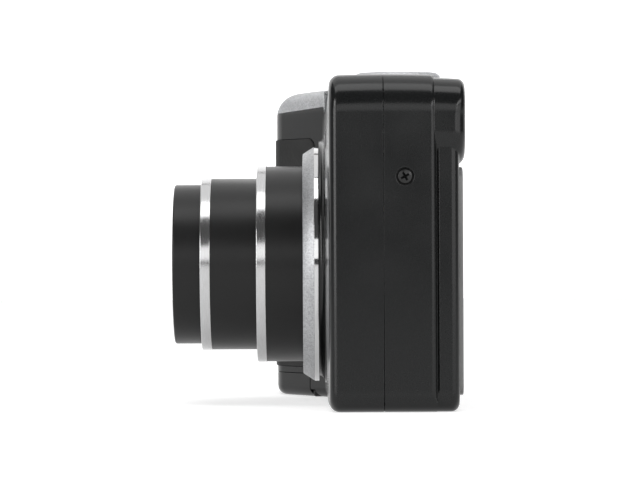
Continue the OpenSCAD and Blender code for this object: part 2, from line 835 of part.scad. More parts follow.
module flash_capacitor() color(dark)
  zbar(capacitor_r, lens_z - 19, lens_z - 19 + capacitor_len, x_left - wall - seat_gap - capacitor_r,
    inner_front_y + 0.2 + capacitor_r);

module focus_lamp() color("#c96a2c")
  ybar(lamp_r, front_y - 0.7, inner_front_y + 0.8, lamp_x, lamp_z);

module tripod_bush() color(metal) {
  difference() {
    zbar(bush_r, 0, bush_z1, tripod_x, tripod_y);
    zbar(tripod_r, -1, tripod_depth, tripod_x, tripod_y);
  }
}

holder_z0 = door_h + 0.5;
holder_z1 = cell_z + cell_len + contact_t + 1;

module battery_box() color(dark) {
  difference() {
    union() {
      for (y = cell_ys) zbar(holder_r, holder_z0, holder_z1, cell_x, y);
      box([cell_x - 4, cell_ys[0], holder_z0], [cell_x + 4, cell_ys[1], holder_z1]);
    }
    for (y = cell_ys) zbar(cell_r + cell_gap, 0, cell_z + cell_len + contact_t, cell_x, y);
  }
}

nub_r = 2.7;
contact_r = 4;
plate_half = 5;

module aa_cells() color("#6f7f8f") {
  for (i = [0, 1]) {
    nub_up = i == 0;
    zbar(cell_r, cell_z + (nub_up ? 0 : 1), cell_z + cell_len - (nub_up ? 1 : 0), cell_x, cell_ys[i]);
    zbar(nub_r, cell_z, cell_z + cell_len, cell_x, cell_ys[i]);
  }
}

module battery_contacts() color(brass)
  for (y = cell_ys) zbar(contact_r, cell_z + cell_len, cell_z + cell_len + contact_t, cell_x, y);

spring_r = 3;

module door_contact() color(brass) {
  box([cell_x - plate_half, cell_ys[0] - plate_half, wall],
    [cell_x + plate_half, cell_ys[1] + contact_r, wall + 0.8]);
  for (y = cell_ys) difference() {
    zbar(spring_r, wall + 0.4, cell_z - seat_gap, cell_x, y);
    zbar(spring_r - 0.5, wall + 0.8, cell_z, cell_x, y);
  }
}

module card_slot() color(metal) {
  difference() {
    box([card_x0 - slot_gap / 2, card_y0 - 0.5, card_z0 + 1],
      [card_x0 + card_t + slot_wall, card_y0 + card_w, card_z0 + card_len + 2.5]);
    box([card_x0 - 0.1, card_y0 - 0.1, 0], [card_x0 + card_t + 0.2, far, card_z0 + card_len + 0.1]);
  }
}

module memory_card() color("#23395d")
  box([card_x0, card_y0, card_z0], [card_x0 + card_t, card_y0 + card_w - 0.3, card_z0 + card_len]);

module strap_lug() color(chrome) {
  for (z = lug_z) xbar(lug_r, x_right - lug_out, x_right + wall + 1.2, lug_y, z);
  zbar(lug_r, lug_z[0], lug_z[1], x_right - lug_out, lug_y);
  for (z = lug_z) translate([x_right - lug_out, lug_y, z]) sphere(lug_r);
}

module case_screws() color(dark) at_screws() screw();

// Outline of a spur gear with straight-sided teeth
module gear_2d(teeth, pitch_r) {
  circle(pitch_r - dedendum);
  for (i = [0:teeth - 1]) rotate([0, 0, 360 * i / teeth])
    polygon([
      [pitch_r - dedendum - 0.3, -tooth_root / 2], [pitch_r - dedendum, -tooth_root / 2],
      [pitch_r + addendum, -tooth_tip / 2], [pitch_r + addendum, tooth_tip / 2],
      [pitch_r - dedendum, tooth_root / 2], [pitch_r - dedendum - 0.3, tooth_root / 2]
    ]);
}

// A gear about an axis along Y, with one tooth turned to the given angle in the XZ plane
module ygear(teeth, pitch_r, y0, y1, x, z, angle) {
  translate([x, y1, z]) rotate([90, 0, 0]) linear_extrude(y1 - y0) rotate([0, 0, angle]) gear_2d(teeth, pitch_r);
}

module cam_ring() color(metal) {
  difference() {
    union() {
      ybar(cam_out_r, cam_y0, cam_y1, 0, lens_z);
      ygear(cam_teeth, cam_pitch_r, gear_y0, gear_y1, 0, lens_z, drive_angle);
    }
    ybar(cam_in_r, -far, far, 0, lens_z);
  }
}

drive_shaft_r = 0.9;

module drive_gear() color(brass) {
  ygear(drive_teeth, drive_pitch_r, gear_y0, gear_y1, drive_x, drive_z, drive_angle + 180 + 180 / drive_teeth);
  ybar(drive_shaft_r, gear_y0 - 1.4, gear_y1 + 1.4, drive_x, drive_z);
}

gearbox_h = 8.5;

module zoom_gearbox() color(dark) {
  difference() {
    box([drive_x - 7, gear_y0 - 1.7, drive_z - 3], [drive_x + 8, gear_y1 + 1.7, drive_z + gearbox_h]);
    ybar(drive_tip_r + 0.4, gear_y0 - 0.3, gear_y1 + 0.3, drive_x, drive_z);
    ybar(tube_out_r, -far, far, 0, lens_z);
    ybar(drive_shaft_r + hinge_clear, -far, far, drive_x, drive_z);
  }
}

motor_r = 3.1;
motor_len = 18;

module zoom_motor() color(metal)
  xbar(motor_r, drive_x + 6.5 - motor_len, drive_x + 6.5, gear_y0 + 2, drive_z + gearbox_h + motor_r);

module speaker() color(dark)
  zbar(speaker_r, inner_top_z - fit_gap - 3, inner_top_z - fit_gap, speaker_x, speaker_y);

module focus_rods() color(chrome)
  for (s = [-1, 1]) ybar(rod_r, focus_y - 0.2, tube_y1, s * rod_x, lens_z);

module focus_carriage() color(dark) {
  difference() {
    ybar(focus_r, focus_y, focus_y + focus_t, 0, lens_z);
    ybar(focus_lens_r, -far, far, 0, lens_z);
    for (s = [-1, 1]) ybar(rod_r + hinge_clear, -far, far, s * rod_x, lens_z);
  }
}

module focus_lens() color(glass) ybar(focus_lens_r, focus_y, focus_y + focus_t, 0, lens_z);

module port_block() color(metal) {
  difference() {
    box([x_right + wall + 0.3, port_y0 + 0.3, port_z0 + 1], [port_x1, port_y1 - 0.5, port_z1 - 1]);
    box([x_right, port_y0 + 2, port_z0 + 3], [port_x1 - 0.8, port_y0 + 5.2, port_z0 + 10]);
    box([x_right, port_y0 + 1.4, port_z0 + 12.2], [port_x1 - 0.8, port_y0 + 5.8, port_z0 + 16.8]);
  }
}

module door_hinge_pin() color(chrome)
  ybar(hinge_pin_r, door_knuckles[0] + 0.6, door_knuckles[1] + knuckle_len - 0.6, hinge_x, hinge_z);

module battery_door() color(black) {
  difference() {
    union() {
      difference() {
        intersection() {
          outer_front();
          box([-far, -far, -far], [hinge_x, door_y1, door_h]);
        }
        inner_front();
        ybar(knuckle_r + knuckle_gap, front_knuckle - knuckle_gap, door_knuckles[1], hinge_x, hinge_z);
      }
      for (y = door_knuckles) knuckle(y, knuckle_len);
    }
    hinge_bore();
  }
}

// The port cover turns on a round bead along its front edge
module port_cover() color(rubber) {
  box([x_right, port_y0 + port_bead_r, port_z0], [x_right + wall, port_y1, port_z1]);
  zbar(port_bead_r, port_z0, port_z1, x_right + port_bead_r, port_y0 + port_bead_r, $fn = 48);
}

// Sliding barrels
barrel_lip = 2;

module barrel_1() color(black) {
  ytube(barrel_1_r, barrel_1_in_r, barrel_1_y + ring_1_w, barrel_1_end, 0, lens_z);
}

module barrel_1_ring() color(chrome)
  ytube(barrel_1_r + ring_proud, barrel_2_r + ring_proud + barrel_gap, barrel_1_y, barrel_1_y + ring_1_w, 0, lens_z);

module barrel_2() color(black) {
  ytube(barrel_2_r, barrel_2_in_r, barrel_2_y + ring_2_w, barrel_2_end, 0, lens_z);
  ytube(barrel_1_in_r - barrel_gap, barrel_2_r - eps, barrel_2_end - barrel_lip, barrel_2_end, 0, lens_z);
}

module barrel_2_ring() color(chrome)
  ytube(barrel_2_r + ring_proud, barrel_2_in_r, barrel_2_y, barrel_2_y + ring_2_w, 0, lens_z);

module shutter_unit() color(dark)
  ytube(barrel_2_in_r, zoom_lens_r, shutter_y0, shutter_y1, 0, lens_z);

module zoom_lens() color(glass) ybar(zoom_lens_r, shutter_y0 - 1, shutter_y1 - 0.5, 0, lens_z);

module barrel_3() color(black) {
  difference() {
    ybar(barrel_3_r, barrel_3_y, barrel_3_end, 0, lens_z);
    ybar(barrel_3_in_r, -far, glass_seat_y - 0.6, 0, lens_z);
    ybar(glass_r + fit_gap, -far, glass_end_y, 0, lens_z);
    ybar(glass_r - 1, -far, far, 0, lens_z);
    ybar(barrel_3_in_r, glass_end_y + 1, far, 0, lens_z);
  }
}

module front_ring() color(dark) {
  ytube(barrel_3_in_r, aperture_r, barrel_3_y, barrel_3_y + front_ring_t, 0, lens_z);
  for (s = [-1, 1])
    ybar(blade_pin_r, barrel_3_y + front_ring_t - eps, blade_y + blade_t + 0.3, s * blade_pivot_r, lens_z);
}

module front_glass() color(glass) {
  intersection() {
    translate([0, glass_y + glass_dome_r, lens_z]) sphere(glass_dome_r);
    ybar(glass_r, glass_y - 1, glass_end_y, 0, lens_z);
  }
}

// A barrier blade as it lies open, hinged at -X: the part of a disc beyond the clear opening
module blade() {
  difference() {
    union() {
      intersection() {
        ybar(blade_out_r, blade_y, blade_y + blade_t, 0, lens_z);
        translate([-blade_pivot_r, 0, lens_z]) rotate([0, -blade_turn, 0])
          box([-far, -far, fit_gap], [far, far, far]);
      }
      ybar(blade_pin_r + 0.6, blade_y, blade_y + blade_t, -blade_pivot_r, lens_z);
    }
    ybar(blade_pin_r + hinge_clear, -far, far, -blade_pivot_r, lens_z);
  }
}

module upper_blade() color(metal) blade();

module lower_blade() color(metal)
  translate([0, 0, lens_z]) rotate([0, 180, 0]) translate([0, 0, -lens_z]) blade();

// Controls
module shutter_button() color(chrome) {
  zbar(shutter_r, shutter_flange_z, lever_z + lever_h + shutter_travel, shutter_x, shutter_y);
  zbar(shutter_r + 0.8, shutter_flange_z, shutter_flange_z + 0.8, shutter_x, shutter_y);
}

module zoom_lever() color(silver) {
  difference() {
    union() {
      zbar(lever_r, lever_z, lever_z + lever_h, shutter_x, shutter_y);
      translate([shutter_x, shutter_y, lever_z]) linear_extrude(lever_h)
        polygon([[-2.6, 0], [2.6, 0], [1.4, -lever_r - 1.6], [-1.4, -lever_r - 1.6]]);
      zbar(lever_sleeve_r, lever_flange_z, lever_z + eps, shutter_x, shutter_y);
      zbar(lever_sleeve_r + 0.8, lever_flange_z, deck_z - seat_gap, shutter_x, shutter_y);
    }
    zbar(shutter_r + key_gap, 0, far, shutter_x, shutter_y);
  }
}

module mode_dial() color(silver) {
  difference() {
    zbar(dial_r, dial_z, dial_z + dial_h, dial_x, dial_y);
    for (i = [0:dial_ribs - 1]) rotate_about(dial_x, dial_y, 360 * i / dial_ribs)
      translate([dial_x + dial_r + 0.15, dial_y, dial_z + 0.6]) cylinder(r = 0.4, h = dial_h - 1.2, $fn = 16);
  }
  zbar(dial_shaft_r, deck_z - 2.2, dial_z + eps, dial_x, dial_y);
  zbar(dial_shaft_r + 1.2, deck_z - 2.2, deck_z - seat_gap, dial_x, dial_y);
}

module rotate_about(x, y, a) {
  translate([x, y, 0]) rotate([0, 0, a]) translate([-x, -y, 0]) children();
}

module power_button() color(silver) {
  zbar(key_r, deck_z - 1.4, body_h + 0.8, power_x, power_y);
  zbar(key_r + 0.8, deck_z - 1.4, deck_z - seat_gap, power_x, power_y);
}

module control_wheel() color(dark) {
  difference() {
    union() {
      ybar(wheel_r, rear_y - 0.6, rear_y + 1, wheel_x, wheel_z);
      ybar(wheel_sleeve_r, wheel_flange_y, rear_y, wheel_x, wheel_z);
      ybar(wheel_sleeve_r + 0.8, wheel_flange_y, inner_rear_y - seat_gap, wheel_x, wheel_z);
    }
    ybar(set_r + key_gap, -far, far, wheel_x, wheel_z);
  }
}

// A round button on the back with its retaining flange inside
module back_key(x, z, r, flange_y) {
  ybar(r, flange_y, rear_y + key_proud, x, z);
  ybar(r + 0.8, flange_y, flange_y + key_flange_t, x, z);
}

module set_button() color(black) back_key(wheel_x, wheel_z, set_r, set_flange_y);

module play_button() color(black) back_key(play_x, play_z, key_r, key_flange_y);

module menu_button() color(black) back_key(menu_x, menu_z, key_r, key_flange_y);

front_cover();
rear_cover();
top_cover();
grip_pad();
lens_bezel();
bezel_band();
lens_tube();
chassis();
main_board();
key_board();
sensor_plate();
image_sensor();
door_contact();
lcd_frame();
lcd_panel();
lcd_window();
flash_window();
flash_reflector();
flash_tube();
flash_capacitor();
focus_lamp();
tripod_bush();
battery_box();
aa_cells();
battery_contacts();
card_slot();
memory_card();
strap_lug();
case_screws();
zoom_gearbox();
zoom_motor();
speaker();
focus_rods();
port_block();
door_hinge_pin();
barrel_1();
barrel_1_ring();
barrel_2();
barrel_2_ring();
shutter_unit();
zoom_lens();
barrel_3();
front_ring();
front_glass();
upper_blade();
lower_blade();
focus_carriage();
focus_lens();
cam_ring();
drive_gear();
shutter_button();
zoom_lever();
mode_dial();
power_button();
control_wheel();
set_button();
play_button();
menu_button();
battery_door();
port_cover();
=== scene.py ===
import json
import math

import bmesh
import bpy
import numpy as np
from mathutils import Matrix, Vector


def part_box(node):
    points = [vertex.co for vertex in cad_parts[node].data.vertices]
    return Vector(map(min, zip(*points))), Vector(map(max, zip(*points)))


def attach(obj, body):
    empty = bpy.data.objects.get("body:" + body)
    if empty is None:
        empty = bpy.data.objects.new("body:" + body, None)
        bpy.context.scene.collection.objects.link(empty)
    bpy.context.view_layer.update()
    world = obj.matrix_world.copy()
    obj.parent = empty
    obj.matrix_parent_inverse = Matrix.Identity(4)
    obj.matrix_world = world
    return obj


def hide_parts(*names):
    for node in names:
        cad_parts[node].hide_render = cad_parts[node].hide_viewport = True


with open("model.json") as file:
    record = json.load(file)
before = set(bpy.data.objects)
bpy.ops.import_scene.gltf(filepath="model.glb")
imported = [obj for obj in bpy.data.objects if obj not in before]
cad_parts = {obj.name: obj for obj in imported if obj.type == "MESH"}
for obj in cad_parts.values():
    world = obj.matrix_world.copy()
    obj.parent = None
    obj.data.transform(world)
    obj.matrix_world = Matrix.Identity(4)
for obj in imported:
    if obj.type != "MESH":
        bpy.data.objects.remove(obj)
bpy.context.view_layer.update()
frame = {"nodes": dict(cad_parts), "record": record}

# Sizes in millimetres, in the part's own frame
MM = 0.001
X_R, X_L = -62.0, 48.0
Z_EDGE = 70.7
CROWN, CROWN_REACH, CROWN_Z = 0.7, 20, (45, 66)
SEAM_Y = -0.6
FRONT_Y = -12.1
STEP_Y = 10.5
STEP_RUNOUT, STEP_FOOT_Z = 4, (0.4, 3)
REAR_Y = 15.3
STEP_SIDE, STEP_TOP = 1.0, 0.5
TOP_R, BOTTOM_R = 8.0, 4.0
FRONT_EDGE, REAR_EDGE, STEP_EDGE = 2.2, 1.8, 1.2
LENS_Z = 31.0
COLLAR_R = 27.0
COLLAR_LIFT = 1.2
FACE_RISE, FACE_FALL, FACE_ROUND = 0.8, 2.5, 6
FACE_FOOT_REACH, FACE_FOOT_Z = 60.0, (2, 22)
GRIP_FRONT_Y = -24.1
GRIP_TOP_EDGE, GRIP_FOOT_EDGE = 5.5, 2.2
GRIP_COLUMNS = ((-40.5, -17.05, 7.0), (-53.5, -15.55, 8.5), (-54.0, -5.2, 6.2), (-20.0, -5.2, 5.5))
LENS_CLEAR = 29.2
PAD_PROUD = 0.3
PAD_Z = (6.9, 59.8)
PAD_Y = -15.5
PAD_X = -57.5
TOP_COVER_Z = 66.0
TOP_COVER_TILT = math.radians(5)
TOP_SPLIT_X = -9.0
DOOR_X, DOOR_Y, DOOR_Z = -27.0, 8.2, 5.3
DOOR_GAP = 0.1
HINGE_Z, KNUCKLE_R = 1.1, 1.1
KNUCKLE_CLEAR_X, KNUCKLE_CLEAR_Z = 1.7, 1.75
DOOR_KNUCKLES = ((-15.6, -5.2), (3.4, 7.4))
FRONT_KNUCKLE, REAR_KNUCKLE = (-4.9, -0.9), (-0.3, 3.1)
GROOVE_Y, GROOVE_EDGE, GROOVE_DEPTH = 10.7, 0.6, 0.32
GROOVE_RUNOUT, GROOVE_FOOT_Z = 6, (2.0, 4.5)
CORE_FRONT = 4
BROW_X, BROW_Z = (-23.5, 47.8), (51.8, 70.05)
BROW_Y = 16.65
BROW_CORNER = 7.2
BROW_FRONT, BROW_FRONT_EDGE, BROW_EDGE, BROW_TOP_EDGE = 9.75, 0.6, 2.5, 1.5
BROW_TURN_Z = (62.0, 67.5)
SKIN = 1.3
GAP = 0.03
ROLL, CRISP = 0.14, 0.05
EDGE = GAP + ROLL
CELL = 0.8
SNAP = 0.2

# Places of screws, keys and openings, in the plane of the face they are on
SIDE_SCREW, RIGHT_SCREW = (3.9, 49.6), (3.5, 14.0)
BASE_SCREWS = ((40.0, 4.6), (-16.0, 4.6))
SEAT_R, SEAT_ROLL = 2.06, 0.22
SCREW_SUNK = 0.26
PORT_Y, PORT_Z, PORT_GAP = (1.6, 9.2), (28.0, 48.0), 0.1
SHUTTER, DIAL_SHAFT, POWER = (-47.0, -1.5), (-28.0, 4.1), (-14.0, 1.0)
SHUTTER_HOLE_R, DIAL_HOLE_R, KEY_HOLE_R, WHEEL_HOLE_R = 6.0, 3.05, 3.15, 10.65
WHEEL, PLAY, MENU = (-44.8, 27.0), (-37.5, 46.0), (-37.5, 9.5)
SCREEN_X, SCREEN_Z = (-22.1, 44.1), (3.3, 51.7)
FLASH_X, FLASH_Z = (3.9, 24.1), (64.3, 68.7)
FOCUS_LAMP = (31.0, 57.7)
TRIPOD, TRIPOD_R = (31.0, 4.275), 4.7
STRAP_Y, STRAP_Z, STRAP_R = 4.0, (55.0, 63.0), 0.98
SPEAKER, SPEAKER_PITCH, SPEAKER_R = (34.0, 3.8), 2, 0.45


def corners(node):
    """The node's lowest and highest corners, in millimetres."""
    low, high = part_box(node)
    return np.array(low) / MM, np.array(high) / MM


# Implicit surfaces: negative inside, in millimetres, on arrays of points
def smooth(lo, hi, v):
    t = np.clip((v - lo) / (hi - lo), 0, 1)
    return t * t * (3 - 2 * t)


def rounded(across, along, edge):
    a = across + edge
    b = along + edge
    return np.minimum(np.maximum(a, b), 0) + np.hypot(np.maximum(a, 0), np.maximum(b, 0)) - edge


def rounded_rect(u, v, span_u, span_v, r_low, r_high):
    mid_u, mid_v = sum(span_u) / 2, sum(span_v) / 2
    r = np.where(v > mid_v, r_high, r_low)
    beside = np.abs(u - mid_u) - (span_u[1] - span_u[0]) / 2
    above = np.abs(v - mid_v) - (span_v[1] - span_v[0]) / 2
    return rounded(beside, above, r)


def face_rise(x, z):
    """How far the front face stands ahead of its edges, growing towards the lens collar."""
    dz = z - LENS_Z
    rho = np.hypot(x, dz) + 1e-6
    reach_x = np.where(x > 0, X_L, -X_R) - FRONT_EDGE
    reach_z = np.where(dz > 0, Z_EDGE - LENS_Z - FRONT_EDGE, FACE_FOOT_REACH)
    power = np.abs(x / rho / reach_x) ** FACE_ROUND + np.abs(dz / rho / reach_z) ** FACE_ROUND
    reach = power ** (-1 / FACE_ROUND)
    t = np.clip((rho - COLLAR_R) / np.maximum(reach - COLLAR_R, 1), 0, 1)
    return FACE_RISE * (1 - t ** FACE_FALL) * (0.55 + 0.45 * smooth(*FACE_FOOT_Z, z))


def crown(y, z):
    """How far the top is lifted: most above the seam, and nothing at the reach from it."""
    return CROWN * np.maximum(1 - ((y - SEAM_Y) / CROWN_REACH) ** 2, 0) * smooth(*CROWN_Z, z)


def blend_min(a, b, k):
    h = np.maximum(k - np.abs(a - b), 0)
    return np.minimum(a, b) - h * h / (4 * k)


def main_field(p):
    x, y, z = p.T
    across = rounded_rect(x, z - crown(y, z), (X_R, X_L), (0, Z_EDGE), BOTTOM_R, TOP_R)
    front = FRONT_Y - face_rise(x, z) - y
    rear = y - STEP_Y - STEP_RUNOUT * (1 - smooth(*STEP_FOOT_Z, z))
    edge = np.where(y < 0, FRONT_EDGE, STEP_EDGE)
    return rounded(across, np.maximum(front, rear), edge)


def two_circles(x, y, one, two):
    """Distance to the hull of two circles (x, y, r)."""
    along = np.array(two[:2]) - np.array(one[:2])
    length = np.hypot(*along)
    ux, uy = along / length
    px = np.abs((x - one[0]) * uy - (y - one[1]) * ux)
    py = (x - one[0]) * ux + (y - one[1]) * uy
    b = (one[2] - two[2]) / length
    a = math.sqrt(1 - b * b)
    k = a * py - b * px
    side = a * px + b * py - one[2]
    return np.where(k < 0, np.hypot(px, py) - one[2],
                    np.where(k > a * length, np.hypot(px, py - length) - two[2], side))


def grip_field(p):
    x, y, z = p.T
    relief = LENS_CLEAR - np.hypot(x, z - LENS_Z)
    z = z - crown(y, z)
    pairs = zip(GRIP_COLUMNS, GRIP_COLUMNS[1:] + GRIP_COLUMNS[:1])
    across = np.min([two_circles(x, y, one, two) for one, two in pairs], axis=0)
    across = -blend_min(-across, -relief, 3)
    edge = np.where(z > Z_EDGE / 2, GRIP_TOP_EDGE, GRIP_FOOT_EDGE)
    return rounded(across, np.maximum(z - Z_EDGE, -z), edge)


def slope(field, p, step=0.02):
    g = np.empty_like(p)
    for i in range(3):
        d = np.zeros(3)
        d[i] = step
        g[:, i] = field(p + d) - field(p - d)
    return g / (2 * step)


def dot(a, b):
    return np.einsum("ij,ij->i", a, b)


def unit(v):
    return v / np.maximum(np.sqrt(dot(v, v)), 1e-9)[:, None]


def blended(one, two, k):
    """Union with a cove where the two surfaces meet at an angle, and none where they run together."""
    def field(p):
        a, b = one(p), two(p)
        d = np.minimum(a, b)
        near = (np.abs(a - b) < k) & (np.abs(d) < 4)
        if near.any():
            q = p[near]
            turn = dot(unit(slope(one, q)), unit(slope(two, q)))
            width = k * np.clip(1 - turn, 0, 1) + 1e-6
            h = np.maximum(width - np.abs(a[near] - b[near]), 0)
            d[near] -= h * h / (4 * width)
        return d
    return field


front_field = blended(main_field, grip_field, 3)


def pad_field(p):
    return grip_field(p) - PAD_PROUD


def rear_block(p):
    """The back with its rounded edges, and the narrower core that joins it to the band across a groove."""
    x, y, z = p.T
    top = Z_EDGE - STEP_TOP
    across = rounded_rect(x, z, (X_R + STEP_SIDE, X_L - STEP_SIDE), (0, top), BOTTOM_R, TOP_R - STEP_SIDE)
    front = GROOVE_Y - GROOVE_RUNOUT * (1 - smooth(*GROOVE_FOOT_Z, z)) - y
    edge = np.where(y < (GROOVE_Y + REAR_Y) / 2, GROOVE_EDGE, REAR_EDGE)
    back = rounded(across, np.maximum(y - REAR_Y, front), edge)
    core = np.maximum(across + GROOVE_DEPTH, np.maximum(y - GROOVE_Y - 1, CORE_FRONT - y))
    return np.minimum(back, core)


def brow_field(p):
    x, y, z = p.T
    across = rounded_rect(x, z - crown(y, z), BROW_X, BROW_Z, BROW_CORNER, TOP_R - STEP_SIDE)
    back_edge = BROW_EDGE + (BROW_TOP_EDGE - BROW_EDGE) * smooth(*BROW_TURN_Z, z)
    edge = np.where(y < (BROW_FRONT + BROW_Y) / 2, BROW_FRONT_EDGE, back_edge)
    return rounded(across, np.maximum(y - BROW_Y, BROW_FRONT - y), edge)


rear_field = blended(rear_block, brow_field, 0.7)


def settle(field, p, rounds):
    """Moves points onto the surface."""
    for _ in range(rounds):
        g = slope(field, p)
        p = p - (field(p) / np.maximum(dot(g, g), 1e-6))[:, None] * g
    return p


def settle_on(field, cut, p):
    """Moves points onto the line where a cut meets the surface."""
    for _ in range(6):
        p = settle(cut, p, 1)
        p = settle(field, p, 1)
    return p


def ticks(lo, hi, pitch, fine=()):
    """Grid lines from lo past hi, closer together in the fine spans (start, end, pitch)."""
    out = [lo]
    while out[-1] < hi:
        out.append(out[-1] + min([pitch] + [p for a, b, p in fine if a <= out[-1] < b]))
    return np.array(out)


def nets(field, axes):
    """A quad mesh of the surface, one vertex in each grid cell that it crosses."""
    shape = tuple(len(a) for a in axes)
    points = np.stack(np.meshgrid(*axes, indexing="ij"), -1).reshape(-1, 3)
    inside = field(points).reshape(shape) < 0
    cells = tuple(s - 1 for s in shape)
    count = np.zeros(cells, int)
    for i in (0, 1):
        for j in (0, 1):
            for k in (0, 1):
                count += inside[i:i + cells[0], j:j + cells[1], k:k + cells[2]]
    mixed = (count > 0) & (count < 8)
    ids = np.full(cells, -1)
    ids[mixed] = np.arange(mixed.sum())
    base = np.argwhere(mixed)
    verts = np.stack([(axes[i][base[:, i]] + axes[i][base[:, i] + 1]) / 2 for i in range(3)], -1)
    verts = settle(field, verts, 6)
    quads = []
    for i in range(3):
        j, k = (i + 1) % 3, (i + 2) % 3
        first = np.take(inside, range(shape[i] - 1), axis=i)
        second = np.take(inside, range(1, shape[i]), axis=i)
        at = np.argwhere(first != second)
        at = at[(at[:, j] > 0) & (at[:, k] > 0) & (at[:, j] < shape[j] - 1) & (at[:, k] < shape[k] - 1)]
        leaving = first[tuple(at.T)]
        ring = []
        for dj, dk in ((0, 0), (-1, 0), (-1, -1), (0, -1)):
            cell = at.copy()
            cell[:, j] += dj
            cell[:, k] += dk
            ring.append(ids[tuple(cell.T)])
        ring = np.stack(ring, -1)
        ring[~leaving] = ring[~leaving][:, ::-1]
        quads.append(ring)
    return verts, np.concatenate(quads)


def cut_face(face, sign):
    """Splits a face between two of its vertices that lie on a cut."""
    loop = list(face.verts)
    n = len(loop)
    zero = [i for i, v in enumerate(loop) if sign[v] == 0]
    for i in zero:
        for j in zero:
            if j - i < 2 or (i == 0 and j == n - 1):
                continue
            one = [sign[loop[k]] for k in range(i + 1, j)]
            two = [sign[loop[k % n]] for k in range(j + 1, i + n)]
            if not any(one) or not any(two):
                continue
            if (min(one) >= 0 >= max(two)) or (max(one) <= 0 <= min(two)):
                bmesh.utils.face_split(face, loop[i], loop[j])
                return


class Sheet:
    """A patch of a moulded surface: cut along implicit functions, then given a thickness."""

    def __init__(self, field, verts, faces):
        self.field = field
        mesh = bpy.data.meshes.new("sheet")
        mesh.from_pydata(verts.tolist(), [], faces.tolist())
        self.bm = bmesh.new()
        self.bm.from_mesh(mesh)
        bpy.data.meshes.remove(mesh)

    def tested(self, test):
        """Each face, with the test's answer at its centre."""
        centres = np.array([f.calc_center_median() for f in self.bm.faces]).reshape(-1, 3)
        return list(zip(self.bm.faces, test(centres)))

    def keep(self, test):
        drop = [f for f, good in self.tested(test) if not good]
        bmesh.ops.delete(self.bm, geom=drop, context="FACES")

    def refine(self, test, cuts):
        """Makes the mesh finer where a small hole goes."""
        edges = list({e for f, hit in self.tested(test) if hit for e in f.edges})
        bmesh.ops.subdivide_edges(self.bm, edges=edges, cuts=cuts, use_grid_fill=True)
        near = list(self.bm.verts)
        co = np.array([v.co for v in near])
        off = np.abs(self.field(co)) > 1e-4
        moved = settle(self.field, co[off], 3)
        for i, p in zip(np.nonzero(off)[0], moved):
            near[i].co = p

    def split(self, cut):
        bm = self.bm
        verts = list(bm.verts)
        co = np.array([v.co for v in verts])
        value = cut(co)
        shortest = min(SNAP, 0.25 * np.median([e.calc_length() for e in bm.edges]))
        near = np.abs(value) < shortest
        if near.any():
            for i, p in zip(np.nonzero(near)[0], settle_on(self.field, cut, co[near])):
                verts[i].co = p
            value[near] = 0
        bm.verts.index_update()
        crossing = []
        for e in bm.edges:
            a, b = e.verts
            if value[a.index] * value[b.index] < 0:
                crossing.append((e, a, value[a.index] / (value[a.index] - value[b.index])))
        sign = {v: s for v, s in zip(verts, np.sign(value))}
        fresh = [bmesh.utils.edge_split(e, a, t)[1] for e, a, t in crossing]
        if fresh:
            for v, p in zip(fresh, settle_on(self.field, cut, np.array([v.co for v in fresh]))):
                v.co = p
                sign[v] = 0
        faces = {f for v, s in sign.items() if s == 0 for f in v.link_faces}
        for f in faces:
            cut_face(f, sign)

    def trim(self, cuts, wanted=None):
        """Cuts the patch along each line, and keeps what is wanted or else what lies inside them all."""
        for cut, _ in cuts:
            self.split(cut)
        self.keep(wanted or (lambda c: in_all(cuts, c)))

    def solid(self, cuts, depth):
        """Vertices, faces and corner normals of the patch made solid, with its cut edges rolled over."""
        bm = self.bm
        bm.verts.index_update()
        co = np.array([v.co for v in bm.verts])
        n = unit(slope(self.field, co))
        thick = depth(co) if callable(depth) else np.full(len(co), depth)
        faces = [[v.index for v in f.verts] for f in bm.faces]
        rim = []
        for e in bm.edges:
            if e.is_boundary:
                corner = e.link_loops[0]
                rim.append((corner.vert.index, corner.link_loop_next.vert.index))
        ids = np.array(sorted({i for pair in rim for i in pair}), int)
        place = {i: k for k, i in enumerate(ids)}
        out = np.zeros((len(ids), 3))
        roll = np.zeros(len(ids))
        for cut, radius in cuts:
            on = np.abs(cut(co[ids])) < 0.01
            if not on.any():
                continue
            d = slope(cut, co[ids][on])
            d = unit(d - dot(d, n[ids][on])[:, None] * n[ids][on])
            known = dot(out[on], out[on]) > 0
            alike = known & (dot(out[on], d) > 0.7)
            out[on] = np.where(alike[:, None], out[on], out[on] + d)
            roll[on] = np.where(known & (roll[on] > 0), np.minimum(roll[on], radius), radius)
        nr = n[ids]
        w = roll[:, None]
        toward = unit(out)
        layers = []
        for degrees in (30, 60, 90):
            c, s = math.cos(math.radians(degrees)), math.sin(math.radians(degrees))
            layers.append((co[ids] - w * (1 - c) * nr + w * s * out, nr * c + toward * s))
        inner = co - thick[:, None] * n
        inner[ids] = co[ids] + w * out - thick[ids][:, None] * nr
        count, edge = len(co), len(ids)
        verts = np.concatenate([co] + [l[0] for l in layers] + [inner])
        normals = [[n[i] for i in f] for f in faces]
        all_faces = list(faces)
        for a, b in rim:
            ka, kb = place[a], place[b]
            rows = [(a, b, n[a], n[b])]
            for level, (_, tilt) in enumerate(layers):
                start = count + level * edge
                rows.append((start + ka, start + kb, tilt[ka], tilt[kb]))
            last = count + 3 * edge
            rows.append((last + a, last + b, toward[ka], toward[kb]))
            for (pa, pb, na, nb), (qa, qb, ma, mb) in zip(rows, rows[1:]):
                all_faces.append([pb, pa, qa, qb])
                normals.append([nb, na, ma, mb])
        last = count + 3 * edge
        for f in faces:
            all_faces.append([last + i for i in reversed(f)])
            normals.append([-n[i] for i in reversed(f)])
        bm.free()
        return verts, all_faces, normals


